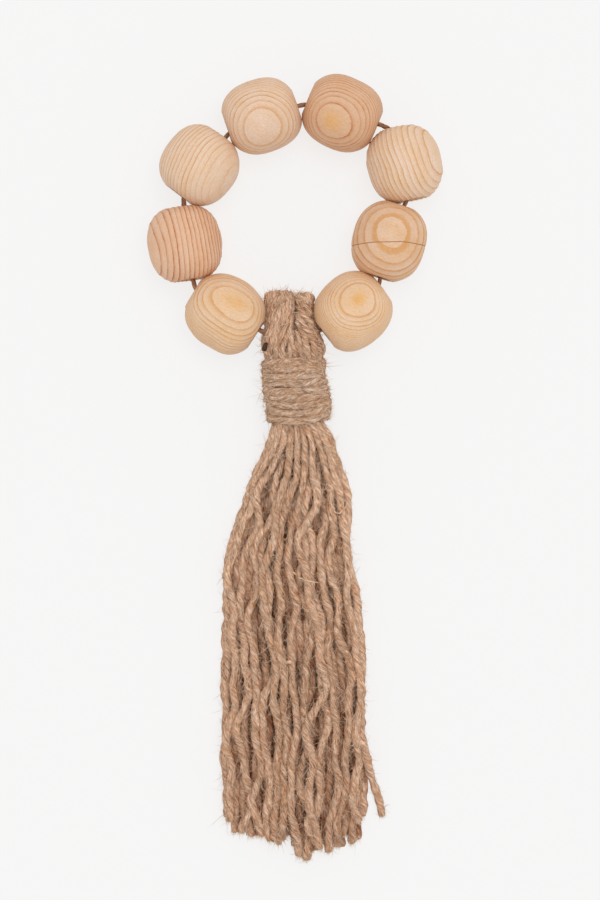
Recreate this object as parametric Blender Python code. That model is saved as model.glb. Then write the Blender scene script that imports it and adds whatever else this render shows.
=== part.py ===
"""A ring of eight turned wooden beads with a tassel of jute twine, lying flat on its back.

Metres, +Z up. Everything rests on z = 0 and the footprint is centred on the origin.
+Y runs from the tassel's cut ends to the far side of the bead ring.
"""
import math

import bmesh
import bpy
import numpy as np

# Beads: barrels with a softly rounded profile, threaded end to end.
BEADS = (
    # x, y, heading of the bore in degrees, half length, radius
    (-0.0130, 0.1378, 19, 0.0152, 0.0145),
    (0.0186, 0.1389, -23, 0.0152, 0.0145),
    (0.0427, 0.1189, -77, 0.0151, 0.0143),
    (0.0367, 0.0888, -108, 0.0154, 0.0143),
    (0.0230, 0.0612, -143, 0.0151, 0.0143),
    (-0.0276, 0.0603, 148, 0.0154, 0.0144),
    (-0.0431, 0.0879, 99, 0.0151, 0.0143),
    (-0.0373, 0.1186, 54, 0.0148, 0.0145),
)
BEAD_POWER = 2.4
BEAD_SEGMENTS = 20
BEAD_PROFILE_STEPS = 9
BEAD_END_SHARE = 0.94
BEAD_SHARP_DEGREES = 40
BORE_RADIUS = 0.0040
MOUTH_RADIUS = 0.0050
MOUTH_DEPTH = 0.0020
FLAT_SPOT_DEPTH = 0.0003

# Ring cord: one closed loop of twine through the bores and the fold of the tassel. It is taut, so
# it lies towards the middle of the ring. Where the next bead's mouth stands further out, as at
# the second and fourth beads, it comes out on the outer side instead.
CORD_RADIUS = 0.0013
CORD_OFFSETS = (
    # how far inward of the bore's centre line the cord goes in and comes out, for each bead
    (0.0020, 0.0010),
    (0.0020, -0.0010),
    (0.0020, 0.0020),
    (-0.0010, -0.0010),
    (0.0020, 0.0020),
    (0.0020, 0.0020),
    (0.0010, 0.0020),
    (0.0020, 0.0020),
)
CORD_BEVEL_STEPS = 2
CORD_BEND_STEPS = 6
CORD_IN_BEAD = 0.80
TUNNEL_RADIUS = 0.0019
TUNNEL_POINTS = 10
LAST_BEAD_BEFORE_TASSEL = 4

# Head: two lobes of folded twine over the ring cord.
LEFT_LOBE = (
    # y, left, right, low, high
    (0.0435, -0.0112, 0.0022, 0.0016, 0.0184),
    (0.0465, -0.0126, 0.0020, 0.0006, 0.0196),
    (0.0500, -0.0126, 0.0014, 0.0004, 0.0198),
    (0.0550, -0.0118, 0.0006, 0.0004, 0.0198),
    (0.0590, -0.0114, -0.0002, 0.0005, 0.0196),
    (0.0630, -0.0114, -0.0002, 0.0014, 0.0188),
    (0.0660, -0.0114, -0.0003, 0.0032, 0.0172),
    (0.0685, -0.0106, -0.0009, 0.0060, 0.0144),
    (0.0698, -0.0088, -0.0022, 0.0086, 0.0118),
)
RIGHT_LOBE = (
    # y, left, right, low, high
    (0.0437, -0.0016, 0.0108, 0.0018, 0.0180),
    (0.0465, -0.0018, 0.0114, 0.0008, 0.0192),
    (0.0500, -0.0012, 0.0104, 0.0006, 0.0194),
    (0.0550, -0.0004, 0.0086, 0.0006, 0.0194),
    (0.0590, 0.0002, 0.0070, 0.0007, 0.0190),
    (0.0630, 0.0002, 0.0066, 0.0016, 0.0182),
    (0.0655, 0.0003, 0.0066, 0.0034, 0.0166),
    (0.0678, 0.0009, 0.0060, 0.0062, 0.0138),
    (0.0690, 0.0022, 0.0050, 0.0088, 0.0112),
)
LOBE_POINTS = 20
LOBE_RIDGE = 0.07
LOBE_POWER = 2.6

# Neck: the gathered twine inside the wrapping and just below it.
NECK = (
    # y, left, right, low, high
    (0.0510, -0.0080, 0.0060, 0.0040, 0.0150),
    (0.0440, -0.0098, 0.0083, 0.0029, 0.0158),
    (0.0400, -0.0098, 0.0083, 0.0029, 0.0158),
    (0.0310, -0.0089, 0.0098, 0.0029, 0.0158),
    (0.0230, -0.0081, 0.0104, 0.0029, 0.0158),
    (0.0180, -0.0072, 0.0096, 0.0029, 0.0157),
    (0.0140, -0.0105, 0.0143, 0.0026, 0.0174),
    (0.0090, -0.0126, 0.0172, 0.0018, 0.0184),
)
NECK_POINTS = 24
NECK_POWER = 2.5

# Wrapping: a band of wound turns round the neck.
WRAP = (
    # y, left, right
    (0.0430, -0.0134, 0.0119),
    (0.0400, -0.0137, 0.0121),
    (0.0364, -0.0130, 0.0124),
    (0.0308, -0.0127, 0.0136),
    (0.0271, -0.0121, 0.0142),
    (0.0241, -0.0119, 0.0144),
    (0.0185, -0.0112, 0.0136),
)
WRAP_TURNS = 9
WRAP_INNER_STEP = 6
WRAP_POINTS = 28
WRAP_POWER = 2.5
WRAP_LOW = -0.0009
WRAP_HIGH = 0.0196
WRAP_THICKNESS = 0.0031
TURN_GROOVE = 0.0006

# Strands: their roots stand in rows in the end of the neck. Each figure of a row's code is the
# layer of the skirt that the strand comes to lie in, counted up from the floor.
STRAND_SIDE = 0.0023
STRAND_GAP = 0.00036
ROOT_ROWS = (
    # height, layers of the strands from left to right
    (0.00460, "00000000"),
    (0.00735, "000000000"),
    (0.01010, "1111111111"),
    (0.01285, "112222211"),
    (0.01560, "22322322"),
)
ROOT_Y = 0.0105
ROOT_X = 0.0023
ROOT_PITCH = 0.00272
LAYERS = (
    # share of the width that the layer spreads over, sway to each side
    (1.00, 0.0007),
    (1.00, 0.0018),
    (0.92, 0.0024),
    (0.30, 0.0030),
)
LAYER_PITCH = 0.0027
SWAY_LENGTHS = (0.046, 0.066, 0.105)
LEAST_SWAY = 0.35
SWAY_SEED = 21
STATIONS = 17
STATION_POWER = 1.2
SETTLE_LENGTH = 0.034
CALM_LENGTH = 0.060
EDGE_CALM = 0.6

# Settling: in each pass the strands stiffen, drift back to their aim, sink and are pushed apart.
# All but the pushing fade out over the first part of the passes.
SETTLE_PASSES = 900
FADE_SHARE = 0.75
STIFFNESS = 0.12
AIM_PULL = 0.10
SINK_STEP = 0.0001
PUSH_SHARE = 0.35
PUSH_MARGIN = 1.01
SIDEWAYS_FAVOUR = 0.6
PUSHES = 4

SKIRT = (
    # y, left, right
    (0.0105, -0.0112, 0.0158),
    (0.0040, -0.0136, 0.0183),
    (-0.0045, -0.0175, 0.0203),
    (-0.0085, -0.0193, 0.0214),
    (-0.0160, -0.0216, 0.0218),
    (-0.0240, -0.0246, 0.0219),
    (-0.0320, -0.0270, 0.0223),
    (-0.0430, -0.0284, 0.0234),
    (-0.0550, -0.0282, 0.0262),
    (-0.0670, -0.0284, 0.0280),
    (-0.0860, -0.0290, 0.0272),
    (-0.1070, -0.0286, 0.0280),
    (-0.1170, -0.0286, 0.0284),
    (-0.1300, -0.0286, 0.0286),
    (-0.1533, -0.0275, 0.0290),
)
TIPS = (
    # x, y of the cut end there
    (-0.0285, -0.1360),
    (-0.0258, -0.1362),
    (-0.0238, -0.1425),
    (-0.0190, -0.1424),
    (-0.0165, -0.1450),
    (-0.0120, -0.1434),
    (-0.0060, -0.1458),
    (-0.0004, -0.1446),
    (0.0018, -0.1525),
    (0.0043, -0.1533),
    (0.0066, -0.1526),
    (0.0090, -0.1488),
    (0.0113, -0.1474),
    (0.0160, -0.1498),
    (0.0183, -0.1502),
    (0.0205, -0.1420),
    (0.0230, -0.1470),
    (0.0254, -0.1474),
    (0.0277, -0.1392),
    (0.0300, -0.1365),
    (0.0345, -0.1373),
)

# One strand at the right swings out from the rest near its end.
STRAY_LAYER = 1
STRAY_START_Y = -0.1040
STRAY_LENGTH = 0.033
STRAY_REACH = 0.0056

TWINE_SHARP_DEGREES = 60
WOOD = (0.72, 0.50, 0.32)
WOOD_ROUGHNESS = 0.6
JUTE = (0.42, 0.27, 0.17)
JUTE_ROUGHNESS = 0.95


def clear_scene():
    for old in list(bpy.data.objects):
        bpy.data.objects.remove(old, do_unlink=True)


def material(name, colour, roughness):
    result = bpy.data.materials.new(name)
    result.use_nodes = True
    shader = result.node_tree.nodes["Principled BSDF"]
    shader.inputs["Base Color"].default_value = (*colour, 1.0)
    shader.inputs["Roughness"].default_value = roughness
    shader.inputs["Metallic"].default_value = 0.0
    return result


def add_object(name, data, finish, parent):
    result = bpy.data.objects.new(name, data)
    data.materials.append(finish)
    result.parent = parent
    bpy.context.scene.collection.objects.link(result)
    return result


def finished_mesh(name, bm, sharp_degrees=TWINE_SHARP_DEGREES):
    """Turn a bmesh into a mesh with its faces pointing out and its round sides shaded smooth."""
    bmesh.ops.recalc_face_normals(bm, faces=bm.faces)
    mesh = bpy.data.meshes.new(name)
    bm.to_mesh(mesh)
    bm.free()
    mesh.shade_smooth()
    mesh.set_sharp_from_angle(angle=math.radians(sharp_degrees))
    return mesh


def ring_points(y, left, right, low, high, count, power, groove=0.0):
    """A rounded cross-section at one y. Every second point is drawn in by the groove's share."""
    centre_x = (left + right) / 2
    centre_z = (low + high) / 2
    points = []
    for i in range(count):
        angle = 2 * math.pi * i / count
        reach = 1 - groove * (i % 2)
        across = math.copysign(abs(math.cos(angle)) ** (2 / power), math.cos(angle))
        up = math.copysign(abs(math.sin(angle)) ** (2 / power), math.sin(angle))
        x = centre_x + reach * across * (right - left) / 2
        z = centre_z + reach * up * (high - low) / 2
        points.append((x, y, z))
    return points


def add_loft(bm, rings):
    """Join rings of equal length into one closed body with flat ends."""
    loops = [[bm.verts.new(point) for point in ring] for ring in rings]
    count = len(rings[0])
    for first, second in zip(loops, loops[1:]):
        for i in range(count):
            j = (i + 1) % count
            bm.faces.new((first[i], first[j], second[j], second[i]))
    bm.faces.new(loops[0])
    bm.faces.new(loops[-1])


def bead_profile(half_length, radius):
    """Points (along the bore, from the axis) of the barrel's outer side, end to end."""
    share = BEAD_END_SHARE ** BEAD_POWER
    first = math.asin((1 - share) ** 0.5)
    points = []
    for i in range(BEAD_PROFILE_STEPS + 1):
        angle = first + (math.pi - 2 * first) * i / BEAD_PROFILE_STEPS
        along = math.copysign(abs(math.cos(angle)) ** (2 / BEAD_POWER), math.cos(angle))
        out = math.sin(angle) ** (2 / BEAD_POWER)
        points.append((half_length * along, radius * out))
    return points


def bead_mesh(name, half_length, radius):
    """A drilled barrel along X, centred on its bore, with a flat spot worn on its underside."""
    end = half_length * BEAD_END_SHARE
    profile = bead_profile(half_length, radius)
    profile += [
        (-end, MOUTH_RADIUS),
        (-end + MOUTH_DEPTH, BORE_RADIUS),
        (end - MOUTH_DEPTH, BORE_RADIUS),
        (end, MOUTH_RADIUS),
    ]
    bm = bmesh.new()
    rings = []
    for i in range(BEAD_SEGMENTS):
        angle = 2 * math.pi * (i + 0.5) / BEAD_SEGMENTS
        rings.append([
            bm.verts.new((along, out * math.cos(angle), out * math.sin(angle)))
            for along, out in profile
        ])
    for first, second in zip(rings, rings[1:] + rings[:1]):
        for i in range(len(profile)):
            j = (i + 1) % len(profile)
            bm.faces.new((first[i], first[j], second[j], second[i]))
    cut = bmesh.ops.bisect_plane(
        bm,
        geom=bm.verts[:] + bm.edges[:] + bm.faces[:],
        plane_co=(0, 0, FLAT_SPOT_DEPTH - radius),
        plane_no=(0, 0, -1),
        clear_outer=True,
    )
    edges = [item for item in cut["geom_cut"] if isinstance(item, bmesh.types.BMEdge)]
    bmesh.ops.contextual_create(bm, geom=edges)
    return finished_mesh(name, bm, BEAD_SHARP_DEGREES)


def build_beads(finish, parent):
    for number, (x, y, heading, half_length, radius) in enumerate(BEADS, 1):
        name = f"bead_{number}"
        bead = add_object(name, bead_mesh(name, half_length, radius), finish, parent)
        bead.location = (x, y, radius - FLAT_SPOT_DEPTH)
        bead.rotation_euler = (0, 0, math.radians(heading))


def cord_ends(number):
    """Where the cord goes into a bead and comes out of it, and its direction in between."""
    x, y, heading, half_length, radius = BEADS[number]
    turn = math.radians(heading)
    along = np.array((math.cos(turn), math.sin(turn), 0.0))
    inward = np.array((math.sin(turn), -math.cos(turn), 0.0))
    centre = np.array((x, y, radius - FLAT_SPOT_DEPTH))
    enter, leave = CORD_OFFSETS[number]
    reach = along * half_length * CORD_IN_BEAD
    start = centre - reach + enter * inward
    end = centre + reach + leave * inward
    return start, end, (end - start) / np.linalg.norm(end - start)


def cord_bend(number):
    """Points of the cord's smooth bend from one bead's bore into the next one's, with both ends."""
    _, start, start_way = cord_ends(number)
    end, _, end_way = cord_ends((number + 1) % len(BEADS))
    span = np.linalg.norm(end - start)
    points = []
    for i in range(CORD_BEND_STEPS + 1):
        t = i / CORD_BEND_STEPS
        points.append(
            (2 * t**3 - 3 * t**2 + 1) * start
            + (t**3 - 2 * t**2 + t) * span * start_way
            + (3 * t**2 - 2 * t**3) * end
            + (t**3 - t**2) * span * end_way
        )
    return points


def build_ring_cord(finish, parent):
    route = []
    for number in range(len(BEADS)):
        route += cord_bend(number)
    curve = bpy.data.curves.new("ring_cord", "CURVE")
    curve.dimensions = "3D"
    curve.bevel_depth = CORD_RADIUS
    curve.bevel_resolution = CORD_BEVEL_STEPS
    spline = curve.splines.new("POLY")
    spline.points.add(len(route) - 1)
    for spot, point in zip(spline.points, route):
        spot.co = (*point, 1.0)
    spline.use_cyclic_u = True
    add_object("ring_cord", curve, finish, parent)


def read_table(table, y):
    """The table's columns after y, read at the given values of y."""
    rows = np.array(table)
    rows = rows[np.argsort(rows[:, 0])]
    return [np.interp(y, rows[:, 0], rows[:, column]) for column in range(1, rows.shape[1])]


def build_wrap(finish, parent):
    """A band whose outer side has one ridge for each turn, flat where it lies on the floor."""
    top = WRAP[0][0]
    bottom = WRAP[-1][0]
    levels = np.linspace(top, bottom, 2 * WRAP_TURNS + 1)
    lefts, rights = read_table(WRAP, levels)
    outer = []
    for i, (y, left, right) in enumerate(zip(levels, lefts, rights)):
        inset = TURN_GROOVE * (1 - i % 2)
        ring = ring_points(
            y, left + inset, right - inset, WRAP_LOW + inset, WRAP_HIGH - inset,
            WRAP_POINTS, WRAP_POWER,
        )
        outer.append([(x, ring_y, max(z, 0.0)) for x, ring_y, z in ring])
    inner = [
        ring_points(
            y, left + WRAP_THICKNESS, right - WRAP_THICKNESS,
            WRAP_LOW + WRAP_THICKNESS, WRAP_HIGH - WRAP_THICKNESS, WRAP_POINTS, WRAP_POWER,
        )
        for y, left, right in zip(
            levels[::WRAP_INNER_STEP], lefts[::WRAP_INNER_STEP], rights[::WRAP_INNER_STEP]
        )
    ]
    bm = bmesh.new()
    loops = [[bm.verts.new(point) for point in ring] for ring in outer + inner[::-1]]
    for first, second in zip(loops, loops[1:] + loops[:1]):
        for i in range(WRAP_POINTS):
            j = (i + 1) % WRAP_POINTS
            bm.faces.new((first[i], first[j], second[j], second[i]))
    add_object("wrap", finished_mesh("wrap", bm), finish, parent)


def strand_roots():
    """Root x, root height, layer and row of every strand."""
    roots = []
    for row, (height, code) in enumerate(ROOT_ROWS):
        for place, figure in enumerate(code):
            x = ROOT_X + (place - (len(code) - 1) / 2) * ROOT_PITCH
            roots.append((x, height, int(figure), row))
    x, height, layer, row = np.array(roots).T
    return x, height, layer.astype(int), row.astype(int)


def strand_places(root_x, layer, row):
    """Each strand's place across the skirt, from -1 at the left edge to 1 at the right."""
    place = np.empty(len(root_x))
    for number, (spread, _) in enumerate(LAYERS):
        members = np.flatnonzero(layer == number)
        members = members[np.lexsort((row[members], root_x[members]))]
        place[members] = np.linspace(-spread, spread, len(members))
    return place


def strand_sway(layer, down):
    """Gentle waves from side to side, that grow from nothing at the roots."""
    rng = np.random.default_rng(SWAY_SEED)
    sway = np.zeros((len(down), len(layer)))
    for i, number in enumerate(layer):
        for length in SWAY_LENGTHS:
            phase = rng.uniform(0, 2 * math.pi)
            size = LAYERS[number][1] * rng.uniform(LEAST_SWAY, 1.0) * (length / SWAY_LENGTHS[1]) ** 0.5
            sway[:, i] += size * np.sin(2 * math.pi * down / length + phase)
    return sway * np.clip(down / CALM_LENGTH, 0, 1)[:, None]


class Spacer:
    """Pushes strands apart where they come too close, side by side or one over the other."""

    def __init__(self, place, layer, row):
        self.one, self.two = np.triu_indices(len(place), 1)
        self.same_layer = layer[self.one] == layer[self.two]
        self.side = np.sign(place[self.two] - place[self.one])
        rank = row + len(ROOT_ROWS) * layer
        self.above = np.sign(rank[self.two] - rank[self.one])
        self.reach = STRAND_SIDE + STRAND_GAP

    def push(self, paths, share):
        """Part the strands at one share of the way from each station to the next."""
        middle = paths[:-1] * (1 - share) + paths[1:] * share
        apart = middle[:, self.two] - middle[:, self.one]
        near, pair = np.nonzero(np.abs(apart).max(axis=2) < self.reach)
        apart = apart[near, pair]
        current = np.where(apart[:, 0] >= 0, 1.0, -1.0)
        side = np.where(self.same_layer[pair], self.side[pair], current)
        above = self.above[pair]
        lack_across = self.reach * PUSH_MARGIN - apart[:, 0] * side
        lack_up = self.reach * PUSH_MARGIN - apart[:, 1] * above
        favour = np.where(self.same_layer[pair], 1.0, SIDEWAYS_FAVOUR)
        across = (above == 0) | (lack_across < lack_up * favour)
        axis = np.where(across, 0, 1)
        move = PUSH_SHARE * np.where(across, lack_across * side, lack_up * above)
        for station, weight in ((near, 1 - share), (near + 1, share)):
            np.add.at(paths, (station, self.one[pair], axis), -move * weight)
            np.add.at(paths, (station, self.two[pair], axis), move * weight)


def stray_swing(y, place, layer):
    """How far the stray strand swings out to the right at each y. It is 0 for all the others."""
    stray = np.argmax(np.where(layer == STRAY_LAYER, place, -1.0))
    share = np.clip((STRAY_START_Y - y) / STRAY_LENGTH, 0, 1)
    swing = np.zeros((len(y), len(place)))
    swing[:, stray] = STRAY_REACH * share * share * (3 - 2 * share)
    return swing


def strand_paths():
    """Station heights y, and each strand's x and z there, settled on the floor and apart."""
    root_x, root_z, layer, row = strand_roots()
    place = strand_places(root_x, layer, row)
    low_y = min(y for _, y in TIPS)
    y = ROOT_Y + (low_y - ROOT_Y) * np.linspace(0, 1, STATIONS) ** STATION_POWER
    down = ROOT_Y - y
    left, right = read_table(SKIRT, y)
    left = left + STRAND_SIDE / 2
    right = right - STRAND_SIDE / 2
    half = (right - left) / 2
    blend = np.clip(down / SETTLE_LENGTH, 0, 1)[:, None]
    blend = blend * blend * (3 - 2 * blend)
    root_place = (root_x - ROOT_X) / half[0]
    at_edge = 1 - EDGE_CALM * place**4
    aim = ((left + right) / 2)[:, None] + half[:, None] * (root_place * (1 - blend) + place * blend)
    swing = stray_swing(y, place, layer)
    aim = aim + strand_sway(layer, down) * at_edge + swing
    floor_z = STRAND_SIDE / 2
    height = root_z * (1 - blend) + (floor_z + LAYER_PITCH * layer) * blend
    paths = np.stack((aim, height), axis=2)
    root = paths[0].copy()
    spacer = Spacer(place, layer, row)
    for turn in range(SETTLE_PASSES):
        ease = max(0.0, 1 - turn / (FADE_SHARE * SETTLE_PASSES))
        bend = np.zeros_like(paths)
        bend[1:-1] = (paths[:-2] + paths[2:]) / 2 - paths[1:-1]
        paths += STIFFNESS * ease * bend
        paths[:, :, 0] += AIM_PULL * ease * (aim - paths[:, :, 0])
        paths[1:, :, 1] -= SINK_STEP * ease
        for number in range(PUSHES):
            spacer.push(paths, (number + (turn % PUSHES) / PUSHES) / PUSHES)
        paths[:, :, 0] = np.clip(paths[:, :, 0], left[:, None], right[:, None] + swing)
        paths[:, :, 1] = np.maximum(paths[:, :, 1], floor_z)
        paths[0] = root
    return y, paths


def tip_height(x):
    """The y at which a strand that ends at this x is cut."""
    spots, heights = np.array(TIPS).T
    return float(np.interp(x, spots, heights))


def strands_mesh(name):
    """All strands as square bars, each from its root to its own cut end."""
    y, paths = strand_paths()
    half = STRAND_SIDE / 2
    corners = ((-half, -half), (half, -half), (half, half), (-half, half))
    bm = bmesh.new()
    for i in range(paths.shape[1]):
        x, z = paths[:, i, 0], paths[:, i, 1]
        tip = tip_height(x[-1])
        kept = y > tip + STRAND_SIDE
        levels = np.append(y[kept], tip)
        xs = np.interp(-levels, -y, x)
        zs = np.interp(-levels, -y, z)
        add_loft(bm, [
            [(x_here + dx, level, z_here + dz) for dx, dz in corners]
            for level, x_here, z_here in zip(levels, xs, zs)
        ])
    return finished_mesh(name, bm)


def lobe_mesh(name, table):
    bm = bmesh.new()
    add_loft(bm, [ring_points(*row, LOBE_POINTS, LOBE_POWER, LOBE_RIDGE) for row in table])
    return finished_mesh(name, bm)


def tunnel_mesh(name):
    """A round bar along the ring cord's bend through the head, wider than the cord."""
    route = cord_bend(LAST_BEAD_BEFORE_TASSEL)
    ways = np.gradient(np.array(route), axis=0)
    bm = bmesh.new()
    rings = []
    for point, way in zip(route, ways):
        sideways = np.array((-way[1], way[0], 0.0)) / math.hypot(way[0], way[1])
        ring = []
        for i in range(TUNNEL_POINTS):
            angle = 2 * math.pi * i / TUNNEL_POINTS
            up = np.array((0.0, 0.0, math.sin(angle)))
            ring.append(point + TUNNEL_RADIUS * (math.cos(angle) * sideways + up))
        rings.append(ring)
    add_loft(bm, rings)
    return finished_mesh(name, bm)


def hidden_helper(name, data, finish, parent):
    helper = add_object(name, data, finish, parent)
    helper.hide_render = True
    helper.display_type = "WIRE"
    return helper


def add_boolean(target, helper, operation):
    modifier = target.modifiers.new(helper.name, "BOOLEAN")
    modifier.operation = operation
    modifier.object = helper


def build_tassel(finish, parent):
    """The folded head, the neck and the strands as one body, with a way through for the cord."""
    bm = bmesh.new()
    add_loft(bm, [ring_points(*row, NECK_POINTS, NECK_POWER) for row in NECK])
    tassel = add_object("tassel", finished_mesh("tassel", bm), finish, parent)
    for name, table in (("left_lobe", LEFT_LOBE), ("right_lobe", RIGHT_LOBE)):
        lobe = hidden_helper(name, lobe_mesh(name, table), finish, parent)
        add_boolean(tassel, lobe, "UNION")
    strands = hidden_helper("strands", strands_mesh("strands"), finish, parent)
    add_boolean(tassel, strands, "UNION")
    tunnel = hidden_helper("tunnel", tunnel_mesh("tunnel"), finish, parent)
    add_boolean(tassel, tunnel, "DIFFERENCE")


def build():
    clear_scene()
    base = bpy.data.objects.new("base", None)
    bpy.context.scene.collection.objects.link(base)
    wood = material("pine", WOOD, WOOD_ROUGHNESS)
    jute = material("jute", JUTE, JUTE_ROUGHNESS)
    build_beads(wood, base)
    build_ring_cord(jute, base)
    build_tassel(jute, base)
    build_wrap(jute, base)


build()
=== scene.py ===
"""The looks of a wooden bead ring with a jute tassel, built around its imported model.

Metres, +Z up, in the model's own frame: +Y runs from the tassel's cut ends to the bead ring.
Every twine is a three-ply loft along a route taken from the model, with finer waves of its own.
"""
import math

import bpy
import numpy as np
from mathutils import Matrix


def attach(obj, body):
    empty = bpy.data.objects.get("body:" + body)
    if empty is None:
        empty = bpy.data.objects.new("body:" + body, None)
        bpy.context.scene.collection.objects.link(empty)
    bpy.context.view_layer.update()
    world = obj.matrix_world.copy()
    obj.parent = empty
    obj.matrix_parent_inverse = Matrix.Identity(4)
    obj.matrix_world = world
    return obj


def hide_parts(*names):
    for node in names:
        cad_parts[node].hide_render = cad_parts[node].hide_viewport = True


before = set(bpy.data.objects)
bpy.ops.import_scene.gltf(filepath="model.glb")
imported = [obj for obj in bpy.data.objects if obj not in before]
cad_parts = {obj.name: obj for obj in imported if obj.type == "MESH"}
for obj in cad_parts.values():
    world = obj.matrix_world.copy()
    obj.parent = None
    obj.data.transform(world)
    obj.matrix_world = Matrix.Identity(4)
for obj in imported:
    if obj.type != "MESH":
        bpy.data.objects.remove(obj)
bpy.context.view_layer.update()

# Camera and light: straight above, framed as a portrait. The floor is a lit white table, so most
# of its brightness is its own and shadows on it stay faint.
VIEW_CENTRE = (0.00195, 0.0074)
VIEW_HEIGHT = 0.351
VIEW_LEVEL = 0.0140
LENS = 130.0
SENSOR = 36.0
FLOOR_SIDE = 6.0
FLOOR_COLOUR = (0.17, 0.17, 0.17)
FLOOR_GLOW = (0.751, 0.748, 0.744)
SKY_COLOUR = (0.98, 0.98, 1.0)
SKY_STRENGTH = 0.70
KEY_COLOUR = (1.0, 0.985, 0.97)
KEY_STRENGTH = 1.15
KEY_SPREAD_DEGREES = 40
KEY_TILT_DEGREES = (-9, 7)

# Beads, as in the model.
BEADS = (
    # x, y, heading of the bore in degrees, half length, radius
    (-0.0130, 0.1378, 19, 0.0152, 0.0145),
    (0.0186, 0.1389, -23, 0.0152, 0.0145),
    (0.0427, 0.1189, -77, 0.0151, 0.0143),
    (0.0367, 0.0888, -108, 0.0154, 0.0143),
    (0.0230, 0.0612, -143, 0.0151, 0.0143),
    (-0.0276, 0.0603, 148, 0.0154, 0.0144),
    (-0.0431, 0.0879, 99, 0.0151, 0.0143),
    (-0.0373, 0.1186, 54, 0.0148, 0.0145),
)
BEAD_POWER = 2.4
BEAD_END_SHARE = 0.94
BORE_RADIUS = 0.0040
MOUTH_RADIUS = 0.0050
MOUTH_DEPTH = 0.0020
FLAT_SPOT_DEPTH = 0.0003
# Their mesh is finer than the model's, a little larger all round, and lumpy.
BEAD_SEGMENTS = 176
BEAD_PROFILE_STEPS = 70
BEAD_SWELL = 0.00015
BEAD_LUMPS = 0.00013
BEAD_LUMP_LENGTH = 0.013
# Broad places where a bead is a little flatter or fuller than the model's.
BEAD_FORMS = (
    # bead, direction in degrees, how much fuller
    (1, 72, -0.0004), (2, 65, -0.0005), (4, 30, -0.0003), (5, -30, -0.0009),
    (5, 115, 0.0006), (6, 200, -0.0009), (6, 60, 0.0006), (8, -60, 0.0005),
)

# Growth rings: the way that the rings face, the depth of the first one under that side, the
# distance between rings, how much closer they get with depth, how much deeper they lie away from
# the centre along the bore (per metre), the relief, the orange of the centre and of the first
# ring's outer side, the wood's tint and a seed.
RINGS = (
    # facing x, y, z, first, spacing, closing, bow, relief, spot, halo, tint, seed
    (0.06, -0.42, 0.91, 0.0018, 0.00170, 0.004, 12, 0.00003, 0.00, 0.45, "pale", 1),
    (-0.20, -0.36, 0.91, 0.0015, 0.00150, 0.010, 10, 0.00003, 0.60, 0.0, "amber", 2),
    (0.88, 0.32, 0.33, 0.0018, 0.00215, 0.008, 2, 0.00016, 0.00, 0.0, "straw", 3),
    (0.03, 0.15, 0.98, 0.0010, 0.00320, 0.000, 16, 0.00005, 0.00, 1.0, "honey", 4),
    (0.04, 0.24, 0.96, 0.0012, 0.00125, 0.050, 12, 0.00003, 0.85, 0.9, "peach", 5),
    (0.24, 0.25, 0.93, 0.0008, 0.00150, 0.004, -8, 0.00003, 0.50, 0.3, "peach", 6),
    (-0.95, -0.17, 0.28, 0.0019, 0.00195, 0.008, -4, 0.00015, 0.00, 0.0, "rosy", 7),
    (0.82, -0.47, 0.33, 0.0007, 0.00220, 0.020, 4, 0.00006, 0.00, 0.0, "straw", 8),
)
# The fourth bead is glued up from two pieces of wood: the lower one's rings, and the joint's
# plane as its place at the bead's middle and its lean.
GLUED_BEAD = 4
GLUED_RINGS = (0.03, 0.12, 0.99, 0.0010, 0.00330, 0.000, 16, 0.00005, 0.00, 1.0, "honey", 14)
JOINT_PLACE = -0.0024
JOINT_LEAN = 0.089
JOINT_DEPTH = 0.0002
JOINT_WIDTH = 0.0004
JOINT_WANDER = 0.0001
JOINT_WANDER_LENGTH = 0.012
# The last bead's first rings are faint: depths in rings, and the strengths there.
QUIET_BEAD = 8
QUIET_RINGS = ((0.0, 2.5, 4.5), (0.30, 0.45, 1.0))
SPOT_DEPTH = 0.00042
RING_WANDER = 0.00030
RING_WANDER_LENGTH = 0.016
# The relief and the darkness over one ring's width, from its line to the next one's.
RING_RIDGE = ((0.0, 0.08, 0.18, 0.34, 0.86, 1.0), (0.3, 1.0, 0.8, 0.0, -0.3, 0.3))
RING_DARKNESS = (
    (0.00, 0.30), (0.03, 1.0), (0.12, 1.0), (0.20, 0.48),
    (0.42, 0.13), (0.80, 0.0), (0.97, 0.02), (1.00, 0.30),
)
RING_WARP = 0.26
# A ring line's least strength, and how much more it may get by chance.
RING_STRENGTH = (0.62, 0.45)
# The orange on the first line's outer side, over (depth in rings + 1) / 2.
HALO_SHAPE = ((0.495, 0.0), (0.515, 1.0), (0.63, 0.8), (0.71, 0.0))
HALO_STRENGTH = 0.85
# The joint's dark line, over the distance from it in mm.
JOINT_LINE = ((0.09, 0.92), (0.20, 0.0))
TINTS = {
    # earlywood, warm patches, latewood
    "pale": ((0.82, 0.600, 0.445), (0.80, 0.555, 0.380), (0.63, 0.310, 0.110)),
    "straw": ((0.83, 0.620, 0.460), (0.82, 0.575, 0.385), (0.66, 0.315, 0.105)),
    "amber": ((0.74, 0.480, 0.310), (0.73, 0.440, 0.260), (0.55, 0.185, 0.048)),
    "rosy": ((0.81, 0.535, 0.360), (0.79, 0.480, 0.295), (0.47, 0.140, 0.032)),
    "honey": ((0.79, 0.540, 0.365), (0.77, 0.480, 0.270), (0.62, 0.260, 0.070)),
    "peach": ((0.83, 0.590, 0.400), (0.82, 0.550, 0.330), (0.66, 0.310, 0.085)),
}
SPOT_TINT = (0.79, 0.410, 0.100)
HALO_TINT = (0.69, 0.335, 0.110)
JOINT_TINT = (0.28, 0.105, 0.040)
# Painted shade in the grooves between the plies, for most twine and for the wrapping.
GROOVE_PAINTED_SHADE = (0.74, 0.58, 0.47)
WRAP_GROOVE_PAINTED_SHADE = (0.80, 0.70, 0.62)
# Painted shade: twines are darkened towards this where they lie deep between higher strands,
# towards the cut ends, in the crease and on the cord.
PAINTED_SHADE_TINT = (0.36, 0.21, 0.14)
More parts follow.
